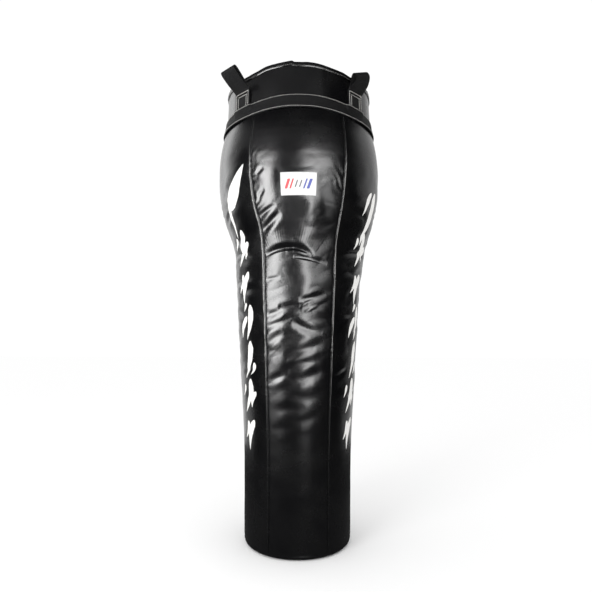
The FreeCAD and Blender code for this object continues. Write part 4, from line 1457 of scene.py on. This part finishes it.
# %% Zip finishes
acetal = solid_finish("moulded_acetal", "#151516", "#1c1c1d", 0.42, 2 * MM, 0.05 * MM)
enamel = solid_finish("enamelled_zinc", "#1d1d20", "#26262a", 0.28, 1.5 * MM, 0.04 * MM)
tape_cloth = solid_finish("twill_zip_tape", "#101012", "#1a1a1c", 0.8, 0.9 * MM, 0.2 * MM)
ZIP_FINISHES = (
    (acetal, ("zip_left_teeth", "zip_right_teeth", "zip_front_stop", "zip_rear_stop")),
    (enamel, ("zip_slider", "zip_pull")),
    (tape_cloth, ("zip_left_tape", "zip_right_tape")),
)
for material, names in ZIP_FINISHES:
    for name in names:
        frame["nodes"][name].data.materials.clear()
        frame["nodes"][name].data.materials.append(material)
    print(material.name, "on", len(names), "parts")

# %% Base and inner layers
nylon = solid_finish("nylon_liner_cloth", "#3c3d42", "#45464b", 0.6, 0.8 * MM, 0.1 * MM)
foam = solid_finish("closed_cell_foam", "#c9c6bb", "#d8d5cb", 0.9, 1.2 * MM, 0.3 * MM)
scrap = solid_finish("packed_cloth_scrap", "#6d6459", "#8b8f97", 0.95, 14 * MM, 2 * MM)


def lathe(name, outline, steps=96):
    """A closed solid turned about the axis from radius and height pairs; both ends of the
    outline lie on the axis."""
    turn = np.linspace(-math.pi, math.pi, steps, endpoint=False)
    ring = np.array(outline[1:-1])
    points = around(turn[:, None], ring[None, :, 0], ring[None, :, 1])
    first = np.arange(len(turn) * len(ring)).reshape(len(turn), len(ring))
    first = np.vstack([first, first[:1]])
    faces = quads_of(first).tolist()
    ends = [(0.0, 0.0, outline[0][1]), (0.0, 0.0, outline[-1][1])]
    count = len(turn) * len(ring)
    for k in range(steps):
        faces.append((first[k, 0], first[k + 1, 0], count))
        faces.append((first[k, -1], first[k + 1, -1], count + 1))
    mesh = bpy.data.meshes.new(name)
    faces = [tuple(map(int, face)) for face in faces]
    mesh.from_pydata(points.reshape(-1, 3).tolist() + ends, [], faces)
    turn_outward(mesh)
    return mesh


def layer_outline(inset, low, high, step=12 * MM):
    """Radius and height up a layer that lies inset behind the wall's relief."""
    heights = np.arange(low, high, step)
    return [(float(wall_radius(max(z, 0.03))) - inset, float(z)) for z in heights]


def cup(outer, inner):
    """An open-topped layer: up its outside and down its inside."""
    return [(0, outer[0][1]), *outer, *reversed(inner), (0, inner[0][1])]


def add_layer(name, outline, finish, node_name):
    """A turned layer of the bag that stands for one node of the frame."""
    return add_piece(name, lathe(name, outline), finish, "bag", [node_name])


# %% The base, the liner and the sleeve
BASE_THICK = 2 * MM
pad_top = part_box("top_pad")[1].z
base_edge = base_radius - 0.6 * MM
base_outline = [
    (0, 0.0),
    (base_radius - 3 * MM, 0.0),
    (base_edge, 0.8 * MM),
    (base_edge, BASE_THICK),
    (0, BASE_THICK),
]
add_layer("base_disc_leather", base_outline, wall_leather, "base_disc")
liner = cup(layer_outline(12 * MM, 0.006, pad_top), layer_outline(12.6 * MM, 0.0068, pad_top))
add_layer("nylon_liner_cloth", liner, nylon, "nylon_liner")
sleeve = cup(layer_outline(13 * MM, 0.008, pad_top), layer_outline(22 * MM, 0.0081, pad_top))
padded = [add_layer("foam_sleeve_foam", sleeve, foam, "foam_sleeve")]

# %% The pads and the fill
low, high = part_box("base_pad")
foot, head = low.z + 6 * MM, high.z + 3 * MM
outline = [(0, foot), (high.x, foot), (high.x, head), (0, head)]
padded.append(add_layer("base_pad_foam", outline, foam, "base_pad"))
low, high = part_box("top_pad")
head, middle = high.z - 2 * MM, (low.z + high.z) / 2
narrow, wide = high.x - 20 * MM, high.x - 12 * MM
outline = [(0, low.z), (narrow, low.z), (wide, middle), (narrow, head), (0, head)]
padded.append(add_layer("top_pad_foam", outline, foam, "top_pad"))
low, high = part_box("textile_fill")
foot, head = low.z + 4 * MM, high.z - 2 * MM
outline = [(0, foot), *layer_outline(23 * MM, foot, head), (0, head)]
padded.append(add_layer("packed_fill_cloth", outline, scrap, "textile_fill"))
print("padded layers:", len(padded))

# %% [markdown]
# ## The studio
#
# The bag stands on a white floor in a white room, and black gloss shows only what it
# mirrors. If it mirrored all that white it would look grey, so gloss doesn't see the room,
# the floor or the lamp here. What it sees instead is a ring of glowing cards, set out as
# white boards and soft boxes stand against black drapes in a studio. Two tall ones in front
# draw the highlights down the front panel, dim ones beside them soften their ends, and
# those behind light the bag's two edges. Only reflections see the cards, so they don't
# change the light in the room.

# %% Surfaces of the room
FLOOR_WHITE = "#fbfbfb"
ROOM_LIGHT = 1.03
FLOOR_REACH = 12.0
FLOOR_DROP = 0.4 * MM


def matt_surface(name, colour, rough):
    """An even surface with no gloss at all, for the room."""
    material, tree = new_material(name)
    sockets = {"Base Color": linear(colour), "Roughness": rough, "Specular IOR Level": 0.0}
    finish_material(tree, sockets)
    return material


def glowing_surface(name, strength):
    """A card bright enough to be seen in gloss, of even strength."""
    material, tree = new_material(name)
    glow = node(tree, "ShaderNodeEmission", {"Color": (1, 1, 1, 1), "Strength": strength})
    node(tree, "ShaderNodeOutputMaterial", {"Surface": glow.outputs["Emission"]})
    return material


def stage_mesh(name, points, faces, material):
    """A part of the room."""
    mesh = bpy.data.meshes.new(name)
    mesh.from_pydata(points, [], faces)
    mesh.materials.append(material)
    part = bpy.data.objects.new(name, mesh)
    bpy.context.collection.objects.link(part)
    return part


# %% Floor and room light
floor_corners = [(-1, -1), (1, -1), (1, 1), (-1, 1)]
floor = stage_mesh(
    "floor",
    [(x * FLOOR_REACH, y * FLOOR_REACH, -FLOOR_DROP) for x, y in floor_corners],
    [(0, 1, 2, 3)],
    matt_surface("white_floor", FLOOR_WHITE, 0.6),
)
floor.visible_glossy = False
world = bpy.data.worlds.new("white_room")
bpy.context.scene.world = world
world.use_nodes = True
background = world.node_tree.nodes["Background"]
background.inputs["Color"].default_value = (1, 1, 1, 1)
background.inputs["Strength"].default_value = ROOM_LIGHT
world.cycles_visibility.glossy = False


# %% Cards that only gloss sees
def gloss_card(name, left, right, low, high, distance, strength):
    """A curved card between two turns from the front, in degrees, seen only in gloss."""
    turn = np.radians(np.linspace(left, right, 12))
    turn, height = np.meshgrid(turn, np.linspace(low, high, 2))
    return hidden_card(name, around(turn, distance, height), strength)


def hidden_card(name, points, strength):
    """A glowing card over a grid of points that only gloss sees."""
    grid = np.arange(points.shape[0] * points.shape[1]).reshape(points.shape[:2])
    places, faces = points.reshape(-1, 3).tolist(), quads_of(grid).tolist()
    card = stage_mesh(name, places, faces, glowing_surface(name, strength))
    card.visible_camera = False
    card.visible_diffuse = False
    card.visible_shadow = False
    card.visible_transmission = False
    return card


CARDS = (
    # name, turns from the front in degrees, heights in metres, distance, strength
    ("left_rear_wall", -180, -134, -1.5, 2.6, 2.2, 1.3),
    ("left_window", -134, -114, 0.95, 2.6, 2.2, 2.5),
    ("left_sill", -134, -114, -0.1, 0.95, 2.2, 0.5),
    ("left_floor_side", -134, -108, -1.5, -0.1, 2.2, 1.4),
    ("left_fade", -114, -100, 0.95, 2.6, 2.2, 0.9),
    ("right_rear_wall", 134, 178, -1.5, 2.6, 2.2, 0.85),
    ("right_window", 104, 134, 1.0, 2.6, 2.2, 0.75),
    ("right_sill", 116, 134, -0.1, 1.0, 2.2, 0.3),
    ("right_floor_side", 108, 134, -1.5, -0.1, 2.2, 0.9),
    ("right_fade", 92, 104, 1.0, 2.6, 2.2, 0.4),
    ("left_box", -49, -25, 0.47, 1.20, 0.95, 20.0),
    ("left_top", -49, -29, 1.20, 1.27, 0.95, 7.0),
    ("left_low", -49, -25, 0.34, 0.47, 0.95, 6.0),
    ("left_lowest", -49, -25, 0.12, 0.34, 0.95, 1.6),
    ("right_box", 6, 19, 0.40, 1.14, 0.95, 14.0),
    ("right_top", 6, 19, 1.14, 1.26, 0.95, 5.0),
    ("right_low", 6, 19, 0.28, 0.40, 0.95, 4.0),
    ("right_lowest", 6, 19, 0.08, 0.28, 0.95, 1.8),
    ("high_right", 19, 36, 1.02, 1.17, 0.95, 11.0),
    ("high_right_top", 19, 36, 1.17, 1.26, 0.95, 4.0),
    ("dim_right", 19, 36, 0.60, 1.02, 0.95, 4.0),
    ("high_band", -100, 40, 1.9, 2.5, 2.0, 0.3),
)
for name, left, right, low, high, distance, strength in CARDS:
    gloss_card(name + "_card", left, right, low, high, distance, strength)
FLOOR_CARDS = (
    # name, inner and outer radius in metres, strength: the floor's own faint reflection
    ("near", 0.10, 0.5, 0.07),
    ("far", 0.5, 1.3, 0.05),
)
ring = np.linspace(-math.pi, math.pi, 49)
for name, inside, outside, strength in FLOOR_CARDS:
    turn, radius = np.meshgrid(ring, (inside, outside))
    hidden_card(name + "_floor_card", around(turn, radius, -2 * MM), strength)
print("cards:", len(CARDS) + len(FLOOR_CARDS))


# %% The lamp
def soft_box(name, turn, distance, height, width, tall, power, aim):
    """A rectangular lamp at a turn from the front, facing a height on the bag's axis."""
    lamp = bpy.data.objects.new(name, bpy.data.lights.new(name, "AREA"))
    bpy.context.collection.objects.link(lamp)
    lamp.data.shape = "RECTANGLE"
    lamp.data.size = width
    lamp.data.size_y = tall
    lamp.data.energy = power
    place = Vector(around(math.radians(turn), distance, height))
    lamp.location = place
    lamp.rotation_euler = (Vector((0, 0, aim)) - place).to_track_quat("-Z", "Y").to_euler()
    lamp.visible_glossy = False


soft_box(
    "left_soft_box",
    turn=-37,
    distance=1.9,
    height=1.05,
    width=0.75,
    tall=1.5,
    power=16,
    aim=0.75,
)
bpy.context.scene.view_settings.view_transform = "Standard"
